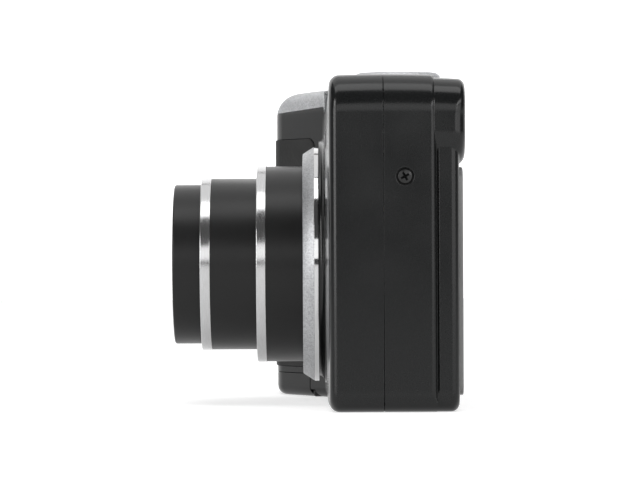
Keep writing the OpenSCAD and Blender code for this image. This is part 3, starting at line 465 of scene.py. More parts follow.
# Lathed and lofted shapes, also in millimetres
def filleted(points, radii, closed=False):
    """The polyline with each corner rounded by its radius."""
    steps = 5
    pts = [np.array(p, float) for p in points]
    out = []
    n = len(pts)
    for i, p in enumerate(pts):
        r = radii[i]
        if r <= 0 or (not closed and i in (0, n - 1)):
            out.append(p)
            continue
        a, b = pts[i - 1] - p, pts[(i + 1) % n] - p
        la, lb = np.hypot(*a), np.hypot(*b)
        a, b = a / la, b / lb
        half = math.acos(np.clip(a @ b, -1, 1)) / 2
        reach = min(r / math.tan(half), 0.49 * la, 0.49 * lb)
        r = reach * math.tan(half)
        bis = a + b
        centre = p + bis / np.hypot(*bis) * (r / math.sin(half))
        start, end = p + a * reach - centre, p + b * reach - centre
        turn = math.acos(np.clip((start @ end) / (r * r), -1, 1))
        for k in range(steps + 1):
            t = k / steps
            f, g = math.sin((1 - t) * turn) / math.sin(turn), math.sin(t * turn) / math.sin(turn)
            out.append(centre + f * start + g * end)
    return out


def oblong(r0, r1, h0, h1):
    """A plain rectangular profile."""
    return [(r0, h0), (r1, h0), (r1, h1), (r0, h1)]


def lathe(profile, place, axis, segments, swell=None):
    """Revolves a closed profile of (radius, height) about an axis; swell(angle, r, h) shifts its radii."""
    rows = len(profile)
    verts = []
    poles = {}
    index = {}
    for s in range(segments):
        t = 2 * math.pi * s / segments
        for k, (r, h) in enumerate(profile):
            if r < 1e-4:
                if k not in poles:
                    poles[k] = len(verts)
                    verts.append((0, 0, h))
                index[s, k] = poles[k]
                continue
            rr = r + (swell(t, r, h) if swell else 0)
            index[s, k] = len(verts)
            verts.append((rr * math.cos(t), rr * math.sin(t), h))
    faces = []
    for s in range(segments):
        u = (s + 1) % segments
        for k in range(rows):
            m = (k + 1) % rows
            ring = [index[s, k], index[u, k], index[u, m], index[s, m]]
            ring = [v for i, v in enumerate(ring) if v != ring[i - 1]]
            if len(ring) > 2:
                faces.append(ring)
    verts = np.array(verts, float)
    if axis == "y":
        verts = np.stack([verts[:, 0], verts[:, 2], verts[:, 1]], -1)
        faces = [f[::-1] for f in faces]
    elif axis == "x":
        verts = np.stack([verts[:, 2], verts[:, 0], verts[:, 1]], -1)
    verts = verts + np.array(place, float)
    return verts, faces, None


def loft(loops):
    """Joins loops of equally many points, and closes both ends."""
    n = len(loops[0])
    verts = np.concatenate(loops)
    faces = []
    for i in range(len(loops) - 1):
        for k in range(n):
            m = (k + 1) % n
            faces.append([i * n + k, i * n + m, (i + 1) * n + m, (i + 1) * n + k])
    faces.append(list(range(n))[::-1])
    faces.append([(len(loops) - 1) * n + k for k in range(n)])
    return verts, faces, None


def plate(span_x, span_z, y0, y1, corner, edge):
    """A plate with rounded corners and edges, from its hidden side y0 to its face y1."""
    steps, corner_steps = 4, 8

    def loop(inset, y):
        r = max(corner - inset, 0.05)
        pts = []
        for cx, cz, start in ((span_x[1], span_z[1], 0), (span_x[0], span_z[1], 90),
                              (span_x[0], span_z[0], 180), (span_x[1], span_z[0], 270)):
            mx = cx - (inset + r) * (1 if cx == span_x[1] else -1)
            mz = cz - (inset + r) * (1 if cz == span_z[1] else -1)
            for k in range(corner_steps + 1):
                t = math.radians(start + 90 * k / corner_steps)
                pts.append((mx + r * math.cos(t), y, mz + r * math.sin(t)))
        return np.array(pts)
    side = 1 if y1 > y0 else -1
    loops = [loop(0, y0)]
    for k in range(steps + 1):
        t = math.radians(90 * k / steps)
        loops.append(loop(edge * (1 - math.cos(t)), y1 - side * edge * (1 - math.sin(t))))
    verts, faces, _ = loft(loops)
    if side > 0:
        faces = [f[::-1] for f in faces]
    return verts, faces, None


def block(lo, hi):
    x0, y0, z0 = lo
    x1, y1, z1 = hi
    low = np.array([(x0, y0, z0), (x1, y0, z0), (x1, y1, z0), (x0, y1, z0)], float)
    high = low + np.array([0, 0, z1 - z0])
    return loft([low, high])


SHARP = math.radians(34)


def make(name, shapes, material, body, nodes):
    """Joins shapes into one piece, shades it, and hangs it on its body."""
    verts, faces, normals = [], [], []
    start = 0
    for v, f, n in shapes:
        verts.append(v * MM)
        faces += [[start + i for i in face] for face in f]
        if n is None:
            normals += [[(0.0, 0.0, 0.0)] * len(face) for face in f]
        else:
            normals += n
        start += len(v)
    mesh = bpy.data.meshes.new(name)
    mesh.from_pydata(np.concatenate(verts).tolist(), [], faces)
    mesh.polygons.foreach_set("use_smooth", [True] * len(mesh.polygons))
    mesh.set_sharp_from_angle(angle=SHARP)
    mesh.normals_split_custom_set([tuple(c) for face in normals for c in face])
    piece = bpy.data.objects.new(name, mesh)
    bpy.context.scene.collection.objects.link(piece)
    mesh.materials.append(material)
    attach(piece, body)
    if nodes:
        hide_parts(*nodes)


# Materials
BSDF = "Principled BSDF"


def set_sockets(node, sockets):
    """Sets values on a node's inputs; in their names an underscore stands for a space."""
    for key, value in sockets.items():
        node.inputs[key.replace("_", " ")].default_value = value


def shader(name, color, roughness, metallic=0.0, **sockets):
    mat = bpy.data.materials.new(name)
    mat.use_nodes = True
    bsdf = mat.node_tree.nodes[BSDF]
    set_sockets(bsdf, dict(sockets, Base_Color=(*color, 1), Roughness=roughness, Metallic=metallic))
    return mat


def add(mat, kind, **sockets):
    node = mat.node_tree.nodes.new("ShaderNode" + kind)
    set_sockets(node, sockets)
    return node


def link(mat, a, out, b, inp):
    mat.node_tree.links.new(a.outputs[out], b.inputs[inp])


def drive(mat, source, out, inp):
    """Lets a node set an input of the material's shader."""
    link(mat, source, out, mat.node_tree.nodes[BSDF], inp)


def texture(mat, kind, scale, stretch=(1, 1, 1), **sockets):
    """A texture that stays with the object."""
    node = add(mat, "Tex" + kind, Scale=scale, **sockets)
    mapping = add(mat, "Mapping", Scale=stretch)
    link(mat, add(mat, "TexCoord"), "Object", mapping, "Vector")
    link(mat, mapping, "Vector", node, "Vector")
    return node


def noise(mat, scale, detail=2.0, stretch=(1, 1, 1)):
    return texture(mat, "Noise", scale, stretch, Detail=detail)


def tint(mat, source, out, colors, stops=(0.3, 0.7)):
    ramp = add(mat, "ValToRGB")
    for element, color, stop in zip(ramp.color_ramp.elements, colors, stops):
        element.position = stop
        element.color = (*color, 1)
    link(mat, source, out, ramp, "Fac")
    drive(mat, ramp, "Color", "Base Color")


def vary_roughness(mat, source, out, low, high, span=(0.3, 0.7)):
    """Maps a texture's middle range to a roughness from low to high."""
    node = add(mat, "MapRange", From_Min=span[0], From_Max=span[1], To_Min=low, To_Max=high)
    link(mat, source, out, node, "Value")
    drive(mat, node, "Result", "Roughness")


def bump(mat, source, out, strength, distance_mm, below=None):
    node = add(mat, "Bump", Strength=strength, Distance=distance_mm * MM)
    link(mat, source, out, node, "Height")
    if below:
        link(mat, below, "Normal", node, "Normal")
    drive(mat, node, "Normal", "Normal")
    return node


def moulded(name, dark, pale, roughness, grain_mm, strength, gloss=0.3):
    """Plastic with a spark-eroded grain and faint wear in its gloss."""
    mat = shader(name, dark, roughness, Specular_IOR_Level=gloss)
    grain = noise(mat, 1 / (grain_mm * MM), 3.0)
    cloud = noise(mat, 60, 3.0)
    tint(mat, grain, "Fac", (dark, pale))
    vary_roughness(mat, cloud, "Fac", roughness - 0.04, roughness + 0.05)
    bump(mat, grain, "Fac", strength, grain_mm * 0.1)
    return mat


def metal(name, dark, pale, low, high, stretch, scale, strength=0.04):
    """Metal whose fine turning or brushing marks run along the unstretched axis."""
    mat = shader(name, pale, high, 1.0)
    marks = noise(mat, scale, 3.0, stretch)
    tint(mat, marks, "Fac", (dark, pale))
    vary_roughness(mat, marks, "Fac", low, high)
    bump(mat, marks, "Fac", strength, 0.02)
    return mat


black_plastic = moulded("black_plastic", (0.005, 0.0053, 0.0055), (0.0085, 0.009, 0.0092),
                        roughness=0.19, grain_mm=0.24, strength=0.07, gloss=0.275)
inner_plastic = moulded("inner_plastic", (0.008, 0.008, 0.008), (0.013, 0.013, 0.013),
                        roughness=0.5, grain_mm=0.3, strength=0.2)
key_plastic = moulded("key_plastic", (0.026, 0.026, 0.028), (0.036, 0.036, 0.038),
                      roughness=0.3, grain_mm=0.15, strength=0.15, gloss=0.5)
barrel_black = moulded("barrel_black", (0.0065, 0.0065, 0.0066), (0.0105, 0.0105, 0.0106),
                       roughness=0.33, grain_mm=0.12, strength=0.1, gloss=0.23)


def rubber_material():
    mat = shader("rubber", (0.009, 0.009, 0.009), 0.6, Specular_IOR_Level=0.3)
    grain = noise(mat, 5200, 2.0)
    cells = texture(mat, "Voronoi", 1900)
    tint(mat, grain, "Fac", ((0.006, 0.006, 0.006), (0.013, 0.013, 0.0127)))
    vary_roughness(mat, noise(mat, 90, 3.0), "Fac", 0.55, 0.7)
    low = bump(mat, cells, "Distance", 0.35, 0.08)
    bump(mat, grain, "Fac", 0.3, 0.04, low)
    return mat


rubber = rubber_material()


def silver_material(name, low, high, tone_low=0.36, tone_high=0.53):
    """Satin metallic paint, with flakes that differ a little in tone and tilt."""
    mat = shader(name, (0.45, 0.455, 0.465), low, 0.75)
    flakes = texture(mat, "Voronoi", 3400)
    tone = add(mat, "SeparateColor")
    link(mat, flakes, "Color", tone, "Color")
    pale = [np.array((1.0, 1.01, 1.035)) * level for level in (tone_low, tone_high)]
    tint(mat, tone, "Red", pale, (0.0, 1.0))
    vary_roughness(mat, tone, "Green", low, high, (0.0, 1.0))
    bump(mat, tone, "Blue", 0.12, 0.02)
    return mat


silver = silver_material("silver_paint", 0.46, 0.62)
# The bezel's copy of the silver paint is smoother, and its tone is lowered by about a sixth. That lowered
# tone is painted shade, which tones down how brightly the side lamps light the bezel.
shaded_silver_bezel = silver_material("shaded_silver_bezel", 0.36, 0.48, 0.3, 0.45)
chrome = metal("chrome", (0.435, 0.435, 0.435), (0.485, 0.485, 0.49),
               low=0.16, high=0.22, stretch=(1, 9, 1), scale=500, strength=0.01)
polished = metal("polished", (0.48, 0.48, 0.48), (0.52, 0.52, 0.525),
                 low=0.05, high=0.09, stretch=(1, 9, 1), scale=500, strength=0.01)
steel = metal("steel", (0.42, 0.42, 0.43), (0.58, 0.58, 0.6),
              low=0.28, high=0.42, stretch=(1, 1, 14), scale=700)
black_steel = moulded("black_steel", (0.006, 0.006, 0.006), (0.01, 0.01, 0.01),
                      roughness=0.24, grain_mm=0.1, strength=0.05, gloss=0.34)
brass = metal("brass", (0.5, 0.38, 0.15), (0.66, 0.52, 0.24),
              low=0.25, high=0.4, stretch=(1, 12, 1), scale=700)


def coated_glass():
    mat = shader("lens_glass", (0.012, 0.016, 0.022), 0.03,
                 IOR=1.45, Coat_Weight=0.1, Coat_Roughness=0.02)
    haze = noise(mat, 45, 2.0)
    tint(mat, haze, "Fac", ((0.008, 0.012, 0.02), (0.018, 0.014, 0.028)))
    vary_roughness(mat, haze, "Fac", 0.02, 0.05)
    return mat


def screen_material():
    """Black glass over a screen that is off: the picture area is a shade lighter than its border."""
    mat = shader("screen_glass", (0.006, 0.006, 0.007), 0.05, Coat_Weight=0.5, Coat_Roughness=0.03)
    parts = add(mat, "SeparateXYZ")
    link(mat, add(mat, "TexCoord"), "Object", parts, "Vector")
    both = add(mat, "Math")
    both.operation = "MULTIPLY"
    for i, (axis, middle, half) in enumerate((("X", 0.011, 0.0305), ("Z", 0.0278, 0.0229))):
        inside = add(mat, "Math")
        inside.operation = "COMPARE"
        inside.inputs[1].default_value = middle
        inside.inputs[2].default_value = half
        link(mat, parts, axis, inside, 0)
        link(mat, inside, "Value", both, i)
    tint(mat, both, "Value", ((0.0045, 0.0045, 0.005), (0.011, 0.012, 0.014)), (0.4, 0.6))
    vary_roughness(mat, noise(mat, 120, 2.0), "Fac", 0.04, 0.07)
    return mat


lens_glass = coated_glass()
screen_glass = screen_material()


def clear_material(name, color, roughness):
    mat = shader(name, color, roughness, IOR=1.49, Transmission_Weight=0.9)
    ripple = noise(mat, 700, 2.0)
    vary_roughness(mat, ripple, "Fac", roughness * 0.7, roughness * 1.4)
    bump(mat, ripple, "Fac", 0.05, 0.03)
    return mat


clear_plastic = clear_material("clear_plastic", (0.92, 0.94, 0.95), 0.08)
amber_plastic = clear_material("amber_plastic", (0.85, 0.3, 0.06), 0.1)
acrylic_edge = moulded("acrylic_edge", (0.16, 0.16, 0.158), (0.2, 0.2, 0.197),
                       roughness=0.16, grain_mm=0.2, strength=0.05, gloss=0.5)


def ribbed_material():
    """Clear plastic with the fine upright ribs of a flash diffuser."""
    mat = shader("ribbed_clear", (0.8, 0.82, 0.84), 0.12, IOR=1.49, Transmission_Weight=0.8)
    ribs = texture(mat, "Wave", 320)
    bump(mat, ribs, "Fac", 0.3, 0.12)
    vary_roughness(mat, noise(mat, 500, 2.0), "Fac", 0.08, 0.18)
    return mat


ribbed_clear = ribbed_material()


def speckled(name, dark, pale, roughness, scale):
    mat = shader(name, dark, roughness)
    dots = noise(mat, scale, 2.0)
    tint(mat, dots, "Fac", (dark, pale), (0.45, 0.6))
    vary_roughness(mat, dots, "Fac", roughness, roughness + 0.15)
    return mat


board = speckled("board", (0.012, 0.05, 0.022), (0.03, 0.1, 0.045), 0.35, 260)
cell_jacket = speckled("cell_jacket", (0.1, 0.16, 0.22), (0.14, 0.2, 0.27), 0.3, 130)
card_plastic = speckled("card_plastic", (0.012, 0.03, 0.09), (0.02, 0.045, 0.12), 0.45, 900)

SLOT_MATERIALS = {
    "body_plastic": black_plastic, "inner_plastic": inner_plastic, "rubber": rubber, "silver_paint": silver,
    "chrome": chrome, "barrel_black": barrel_black, "glass": lens_glass, "screen_glass": screen_glass,
    "clear_plastic": clear_plastic, "amber_plastic": amber_plastic, "steel": steel,
    "black_steel": black_steel, "brass": brass, "board": board, "cell": cell_jacket, "card": card_plastic,
}
for part in frame["record"]["subparts"]:
    mesh = frame["nodes"][part["node"]].data
    mesh.materials.clear()
    mesh.materials.append(SLOT_MATERIALS[part["material_slot"]])


# Cuts in the covers: each function is negative inside the region it names
def above_tilt(shift):
    def cut(p):
        rise = (p[:, 2] - TOP_COVER_Z) * math.cos(TOP_COVER_TILT)
        return shift - rise + (p[:, 1] - GRIP_FRONT_Y) * math.sin(TOP_COVER_TILT)
    return cut


def below(axis, limit):
    """Where the coordinate is under the limit."""
    return lambda p: p[:, axis] - limit


def over(axis, limit):
    return lambda p: limit - p[:, axis]


def outside(cut):
    return lambda p: -cut(p)


# Half spaces that each hold one side of the case
LEFT, RIGHT, UNDER, HIGH = over(0, 40), below(0, -55), below(2, 5), over(2, 60)
AHEAD, BACK = below(1, -8), over(1, 12)


def in_any(cuts, c):
    return np.min([cut(c) for cut, _ in cuts], axis=0) < 0


def in_all(cuts, c):
    return np.max([cut(c) for cut, _ in cuts], axis=0) < 0


def disc(axes, centre, r):
    u, v = axes
    return lambda p: np.hypot(p[:, u] - centre[0], p[:, v] - centre[1]) - r


def window(axes, span_u, span_v, corner):
    u, v = axes
    return lambda p: rounded_rect(p[:, u], p[:, v], span_u, span_v, corner, corner)


def around(shape, where):
    """Outside the shape in its half space, and all of the other half space."""
    far_in = -9.0
    return lambda p: np.where(where(p) < 0, -shape(p), far_in)


def pierce(sheet, holes, cuts, roll=ROLL):
    """Cuts holes in a sheet. Each is (disc or window function, half space it is in, finer mesh wanted)."""
    for shape, where, fine in holes:
        if fine:
            sheet.refine(lambda c: (shape(c) < 1.2) & (where(c) < 0), fine)
        edge = (around(shape, where), roll)
        sheet.trim([edge])
        cuts.append(edge)


SIDES_FINE = ((-62.5, -59.3, 0.4), (45.1, 48.3, 0.4))
front_verts, front_quads = nets(front_field, [
    ticks(-63.3, 49.3, CELL, SIDES_FINE),
    ticks(-25.7, 12.1, CELL, ((-13.3, -9.5, 0.4), (9.0, 11.2, 0.2))),
    ticks(-1.3, 72.9, CELL)])
rear_verts, rear_quads = nets(rear_field, [
    ticks(-62.3, 48.7, CELL, SIDES_FINE),
    ticks(7.7, 17.3, CELL, ((9.6, 11.6, 0.2), (11.6, 17.0, 0.4))),
    ticks(-1.3, 71.9, CELL, ((51.0, 57.0, 0.4), (67.0, 71.0, 0.4)))])


def case_patch(near):
    """The part of the case's front surface that is near a piece."""
    sheet = Sheet(front_field, front_verts, front_quads)
    sheet.keep(near)
    return sheet


def skin_depth(p):
    """The skins thin out towards the small rolled edge at the step."""
    return SKIN - 0.85 * smooth(7.4, 9.0, p[:, 1])


def build_top_cover():
    cuts = [(above_tilt(EDGE), ROLL), (below(0, TOP_SPLIT_X - EDGE), ROLL), (below(1, STEP_Y - ROLL), CRISP)]
    sheet = case_patch(lambda c: (c[:, 0] < TOP_SPLIT_X + 2) & (c[:, 2] > 62))
    sheet.trim(cuts)
    holes = [(disc((0, 1), SHUTTER, SHUTTER_HOLE_R), HIGH, 0),
             (disc((0, 1), DIAL_SHAFT, DIAL_HOLE_R), HIGH, 0), (disc((0, 1), POWER, KEY_HOLE_R), HIGH, 1)]
    pierce(sheet, holes, cuts)
    make("top_cover.shell", [sheet.solid(cuts, skin_depth)], silver, "body", ["top_cover"])


def knuckle(y0, y1, nose=0.15):
    """A round hinge knuckle from y0 to y1, its front end rounded by nose."""
    profile = filleted(oblong(0, KNUCKLE_R, y0, y1), [0, nose, 0.15, 0])
    return lathe(profile, (DOOR_X, 0, HINGE_Z), "y", 48)


def web(y0, y1):
    return block((DOOR_X, y0, 0.65), (DOOR_X + 2.6, y1, 1.5))


def top_cover_edges():
    """Where the front and rear covers end below and beside the top cover."""
    return [(outside(above_tilt(-EDGE)), ROLL), (outside(below(0, TOP_SPLIT_X + EDGE)), ROLL)]


def door_edges():
    """The clear space round the battery door's skin and, further in, round its knuckles."""
    return [(outside(below(0, DOOR_X + DOOR_GAP + ROLL)), ROLL),
            (outside(below(0, DOOR_X + KNUCKLE_CLEAR_X)), CRISP),
            (outside(below(2, DOOR_Z + DOOR_GAP + ROLL)), ROLL), (outside(below(2, KNUCKLE_CLEAR_Z)), CRISP)]


def clear_of_door(door, c):
    beside_skin, beside_knuckle, over_skin, over_knuckle = door
    return in_any([beside_skin, over_skin], c) & in_any([beside_knuckle, over_knuckle], c)


def build_front_cover():
    seam = (below(1, SEAM_Y - EDGE), ROLL)
    zone, door = top_cover_edges(), door_edges()
    collar_z = LENS_Z + COLLAR_LIFT
    hole = (outside(disc((0, 2), (0, collar_z), COLLAR_R - 0.2)), 0.02)
    pad_hole = [(outside(cut), ROLL) for cut, _ in pad_cuts(EDGE)]
    cuts = [seam] + zone + door + [hole] + pad_hole

    def wanted(c):
        good = (seam[0](c) < 0) & (hole[0](c) < 0)
        return good & in_any(zone, c) & clear_of_door(door, c) & in_any(pad_hole, c)

    sheet = case_patch(lambda c: c[:, 1] < SEAM_Y + 2)
    sheet.trim(cuts, wanted)
    holes = [(window((0, 2), FLASH_X, FLASH_Z, 1.1), AHEAD, 0), (disc((0, 2), FOCUS_LAMP, 2.3), AHEAD, 1)]
    pierce(sheet, holes, cuts)
    bore, rim, front, back = 24.5, 27.76, -14.2, -11.7
    turn = np.linspace(0, math.pi / 2, 9)
    flare = [(27.5 - 1.3 * math.cos(t), front + 1.15 * math.sin(t)) for t in turn]
    foot = [(27.55, -13.05), (27.7, -13.0), (rim, -12.85), (rim, back), (bore, back)]
    collar = lathe([(bore, front)] + flare + foot, (0, 0, collar_z), "y", 192)
    shapes = [sheet.solid(cuts, SKIN), collar, knuckle(*FRONT_KNUCKLE), web(*FRONT_KNUCKLE)]
    make("front_cover.shell", shapes, black_plastic, "body", ["front_cover"])


def pad_cuts(shift):
    """The rubber pad's outline on the grip, as a wrap round its inner and its outer corner."""
    z0, z1 = PAD_Z[0] - shift, PAD_Z[1] + shift
    inner = window((1, 2), (-90.0, PAD_Y + shift), (z0, z1), 1.6 + shift)
    outer = window((0, 2), (PAD_X - shift, 90.0), (z0, z1), 1.6 + shift)
    return [(inner, ROLL), (outer, ROLL)]


def build_grip_pad():
    cuts = pad_cuts(-ROLL)
    sheet = Sheet(pad_field, *nets(pad_field, [ticks(-63.3, -18.0, CELL), ticks(-25.9, -12.1, CELL),
                                               ticks(-1.3, 72.9, CELL)]))
    sheet.keep(lambda c: (c[:, 1] < PAD_Y + 2) & (c[:, 0] > PAD_X - 2))
    sheet.trim(cuts)
    make("grip_pad.rubber", [sheet.solid(cuts, 0.8)], rubber, "body", ["grip_pad"])


def build_battery_door():
    front, rear = DOOR_KNUCKLES
    cuts = [(below(0, DOOR_X - ROLL), ROLL), (below(2, DOOR_Z - ROLL), ROLL), (below(1, DOOR_Y - ROLL), ROLL)]
    notch = [(below(0, DOOR_X - 1.5), CRISP), (below(1, front[1]), CRISP), (over(1, rear[0]), CRISP)]
    sheet = case_patch(lambda c: (c[:, 0] < DOOR_X + 2) & (c[:, 2] < DOOR_Z + 2))
    sheet.trim(cuts + notch, lambda c: in_all(cuts, c) & in_any(notch, c))
    shapes = [sheet.solid(cuts + notch, SKIN), knuckle(*front, nose=0.9), knuckle(*rear)]
    make("battery_door.shell", shapes, black_plastic, "battery_door", ["battery_door"])


def rear_band():
    """The part of the rear cover that runs round the sides, the top and the base, ahead of the groove."""
    seam = (over(1, SEAM_Y + EDGE), ROLL)
    step = (below(1, STEP_Y - 0.02), 0.02)
    behind_door = (over(1, DOOR_Y + DOOR_GAP + ROLL), ROLL)
    zone, door = top_cover_edges(), door_edges()
    cuts = [seam, step] + zone + door + [behind_door]

    def wanted(c):
        good = (seam[0](c) < 0) & (step[0](c) < 0) & in_any(zone, c)
        return good & ((behind_door[0](c) < 0) | clear_of_door(door, c))

    sheet = case_patch(lambda c: c[:, 1] > SEAM_Y - 2)
    sheet.trim(cuts, wanted)
    wells = [(disc((1, 2), SIDE_SCREW, SEAT_R), LEFT, 2), (disc((1, 2), RIGHT_SCREW, SEAT_R), RIGHT, 2)]
    wells += [(disc((0, 1), place, SEAT_R), UNDER, 2) for place in BASE_SCREWS]
    pierce(sheet, wells, cuts, SEAT_ROLL)
    port_y, port_z = ((lo - PORT_GAP, hi + PORT_GAP) for lo, hi in (PORT_Y, PORT_Z))
    holes = [(window((1, 2), port_y, port_z, 0.8), RIGHT, 1), (disc((0, 1), TRIPOD, TRIPOD_R), UNDER, 1)]
    holes += [(disc((1, 2), (STRAP_Y, z), STRAP_R), RIGHT, 2) for z in STRAP_Z]
    x, y = SPEAKER
    speaker = [SPEAKER]
    for t in np.arange(6) * math.pi / 3:
        speaker.append((x + SPEAKER_PITCH * math.cos(t), y + SPEAKER_PITCH * math.sin(t)))
    sheet.refine(lambda c: (np.hypot(c[:, 0] - x, c[:, 1] - y) < 3.4) & (c[:, 2] > 60), 3)
    holes += [(disc((0, 1), place, SPEAKER_R), HIGH, 0) for place in speaker]
    pierce(sheet, holes, cuts, 0.12)
    return sheet.solid(cuts, skin_depth)


def rear_panel():
    """The back itself, with its brow, and with holes for the screen and the keys."""
    def tucked(p):
        """The back runs on under the rim of the band, except at the base, where the two are flush."""
        return 8.9 + (STEP_Y - 8.92) * (1 - smooth(0.3, 1.5, p[:, 2])) - p[:, 1]

    cuts = [(tucked, 0.02)]
    sheet = Sheet(rear_field, rear_verts, rear_quads)
    sheet.trim(cuts)
    holes = [(window((0, 2), SCREEN_X, SCREEN_Z, 2.6), BACK, 0), (disc((0, 2), WHEEL, WHEEL_HOLE_R), BACK, 0)]
    holes += [(disc((0, 2), place, KEY_HOLE_R), BACK, 1) for place in (PLAY, MENU)]
    pierce(sheet, holes, cuts, 0.25)
    return sheet.solid(cuts, SKIN)


def build_rear_cover():
    shapes = [rear_band(), rear_panel(), knuckle(*REAR_KNUCKLE), web(*REAR_KNUCKLE)]
    seat = lathe(oblong(0.95, 2.3, -1.5, -1.15), (0, 0, 0), "z", 40)
    shapes += [turned(seat, place, axis) for place, axis in screw_places()]
    make("rear_cover.shell", shapes, black_plastic, "body", ["rear_cover"])


def screw_places():
    """Where each screw's head sits, and which way it faces."""
    places = [((X_L - SCREW_SUNK, *SIDE_SCREW), (1, 0, 0)), ((X_R + SCREW_SUNK, *RIGHT_SCREW), (-1, 0, 0))]
    return places + [((x, y, SCREW_SUNK), (0, 0, -1)) for x, y in BASE_SCREWS]


def turned(shape, place, axis):
    """Turns a shape made about +Z to face along axis, and moves it to place."""
    verts, faces, normals = shape
    spin = np.array(Vector((0, 0, 1)).rotation_difference(Vector(axis)).to_matrix())
    return verts @ spin.T + np.array(place, float), faces, normals


def build_screws():
    """Pan heads with a cross-shaped driver recess."""
    arm, half, turn = 0.92, 0.23, 28
    cross = []
    for q in range(4):
        t = math.radians(turn + 90 * q)
        u, v = np.array([math.cos(t), math.sin(t)]), np.array([-math.sin(t), math.cos(t)])
        cross += [u * half - v * half, u * arm - v * half, u * arm + v * half]
    head = screw_head(cross, 1.63, 1.15)
    shapes = [turned(head, place, axis) for place, axis in screw_places()]
    make("case_screws.heads", shapes, black_steel, "body", ["case_screws"])


def screw_head(cross, r, h):
    """The head as rings of points in step with the cross, from the shank over the rim to the recess floor."""
    shank_r, shank_h, rim, rim_h, floor = 0.8, 3.2, 0.3, 0.4, 1.0
    pts = [cross[i] for i in np.argsort([math.atan2(p[1], p[0]) for p in cross])]
    outline = []
    for a, b in zip(pts, pts[1:] + pts[:1]):
        outline += [a + (b - a) * t for t in (0, 1 / 3, 2 / 3)]
    outline = np.array(outline)
    heading = np.unwrap(np.arctan2(outline[:, 1], outline[:, 0]))
    turn = np.stack([np.cos(heading), np.sin(heading)], -1)

    def level(points, z):
        return np.concatenate([points, np.full((len(points), 1), z)], 1)

    loops = [level(turn * shank_r, -shank_h), level(turn * shank_r, -h), level(turn * r, -h),
             level(turn * r, -rim_h)]
    for k in range(1, 6):
        t = math.radians(80 * k / 5)
        loops.append(level(turn * (r - rim * (1 - math.cos(t))), -rim_h + 0.32 * math.sin(t)))
    return loft(loops + [level(outline * 1.05, 0.0), level(outline, -0.06), level(outline * 0.12, -floor)])


def build_port_cover():
    edge = 0.12
    span_y, span_z = ((lo + edge, hi - edge) for lo, hi in (PORT_Y, PORT_Z))
    mid_y, mid_z = sum(PORT_Y) / 2, sum(PORT_Z) / 2
    cuts = [(window((1, 2), span_y, span_z, 0.7), edge)]

    def near(c):
        return (RIGHT(c) < 0) & (np.abs(c[:, 1] - mid_y) < 6) & (np.abs(c[:, 2] - mid_z) < 13)

    sheet = case_patch(near)
    sheet.trim(cuts)
    lip = lathe(filleted(oblong(0, 0.6, 33.6, 42.4), [0, 0.5, 0.5, 0]), (X_R + 0.15, 8.2, 0), "z", 32)
    make("port_cover.flap", [sheet.solid(cuts, SKIN), lip], rubber, "port_cover", ["port_cover"])


# The lens: profiles of (radius, place along its axis), in millimetres
LENS = (0, 0, LENS_Z)
BEZEL_Y, BAND_Y = (-17.8, -15.3), (-15.3, -14.2)
RING_1_Y, RING_2_Y = (-28.0, -25.9), (-40.35, -38.1)


def ring_piece(node, kind, points, radii, material, body):
    profile = filleted(points, radii, True)
    make(f"{node}.{kind}", [lathe(profile, LENS, "y", 192)], material, body, [node])


def build_lens():
    cone = [(22.15, BEZEL_Y[0]), (24.5, BEZEL_Y[0]), (26.1, BEZEL_Y[1]), (23.05, BEZEL_Y[1]),
            (23.05, -10.2), (22.15, -10.2)]
    ring_piece("lens_bezel", "cone", cone, [0.3, 0.35, 0.05, 0, 0.1, 0.1],
               shaded_silver_bezel, "body")
    ring_piece("bezel_band", "ring", oblong(23.05, 26.2, *BAND_Y), [0, 0.08, 0.15, 0],
               polished, "body")
    ring_piece("barrel_1", "tube", oblong(20.4, 21.8, RING_1_Y[1], -7.0), [0.1, 0.1, 0.2, 0.2],
               barrel_black, "barrel_1")
    ring_piece("barrel_1_ring", "rim", oblong(19.45, 21.9, *RING_1_Y), [0.2, 0.25, 0.08, 0],
               chrome, "barrel_1")
    flanged = [(18.0, RING_2_Y[1]), (19.1, RING_2_Y[1]), (19.1, -22.35), (20.15, -22.35),
               (20.15, -20.35), (18.0, -20.35)]
    ring_piece("barrel_2", "tube", flanged, [0.1, 0.1, 0.05, 0.15, 0.15, 0.1],
               barrel_black, "barrel_2")
    ring_piece("barrel_2_ring", "rim", oblong(18.0, 19.2, *RING_2_Y), [0.15, 0.25, 0.08, 0],
               chrome, "barrel_2")
    build_front_barrel()


def build_front_barrel():
    """The third barrel with its mount for the front glass, the stepped baffle and the glass itself."""
    lo, hi = corners("barrel_3")
    front, end = lo[1] + 0.2, hi[1]
    wall, mount, seat = 16.65, 11.5, 12.6
    tube = [(wall, front), (17.75, front), (17.75, end), (wall, end), (wall, -37.1), (mount, -37.1),
            (mount, -38.1), (seat, -38.1), (seat, -41.4), (wall, -41.4)]
    ring_piece("barrel_3", "tube", tube, [0.15, 0.45, 0.2] + [0.1] * 7,
               barrel_black, "barrel_3")
    hole, rim, steps = 7.9, 16.2, 9
    baffle = [(wall, front + 0.05), (wall, front + 1.0), (hole, front + 1.0), (7.6, front + 0.8),
              (7.6, front + 0.7)]
    for k in range(steps):
        r = hole + (rim - hole) * k / (steps - 1)
        y = front + 0.66 - 0.5 * k / (steps - 1)
        baffle += [(r, y), (r + 0.45, y + 0.12)]
    baffle += [(16.55, front + 0.05)]
    make("front_ring.baffle", [lathe(baffle[::-1], LENS, "y", 160)], inner_plastic, "barrel_3",
         ["front_ring"])
    curve, glass_r, tip, rows = 22, 12.5, -44.6, 14
    dome = [(0.0, tip)]
    for k in range(1, rows + 1):
        r = glass_r * k / rows
        dome.append((r, tip + curve - math.sqrt(curve ** 2 - r ** 2)))
    dome += [(glass_r, -38.1), (9.0, -37.7), (0.0, -37.4)]
    make("front_glass.element", [lathe(dome[::-1], LENS, "y", 128)], lens_glass, "barrel_3",
         ["front_glass"])


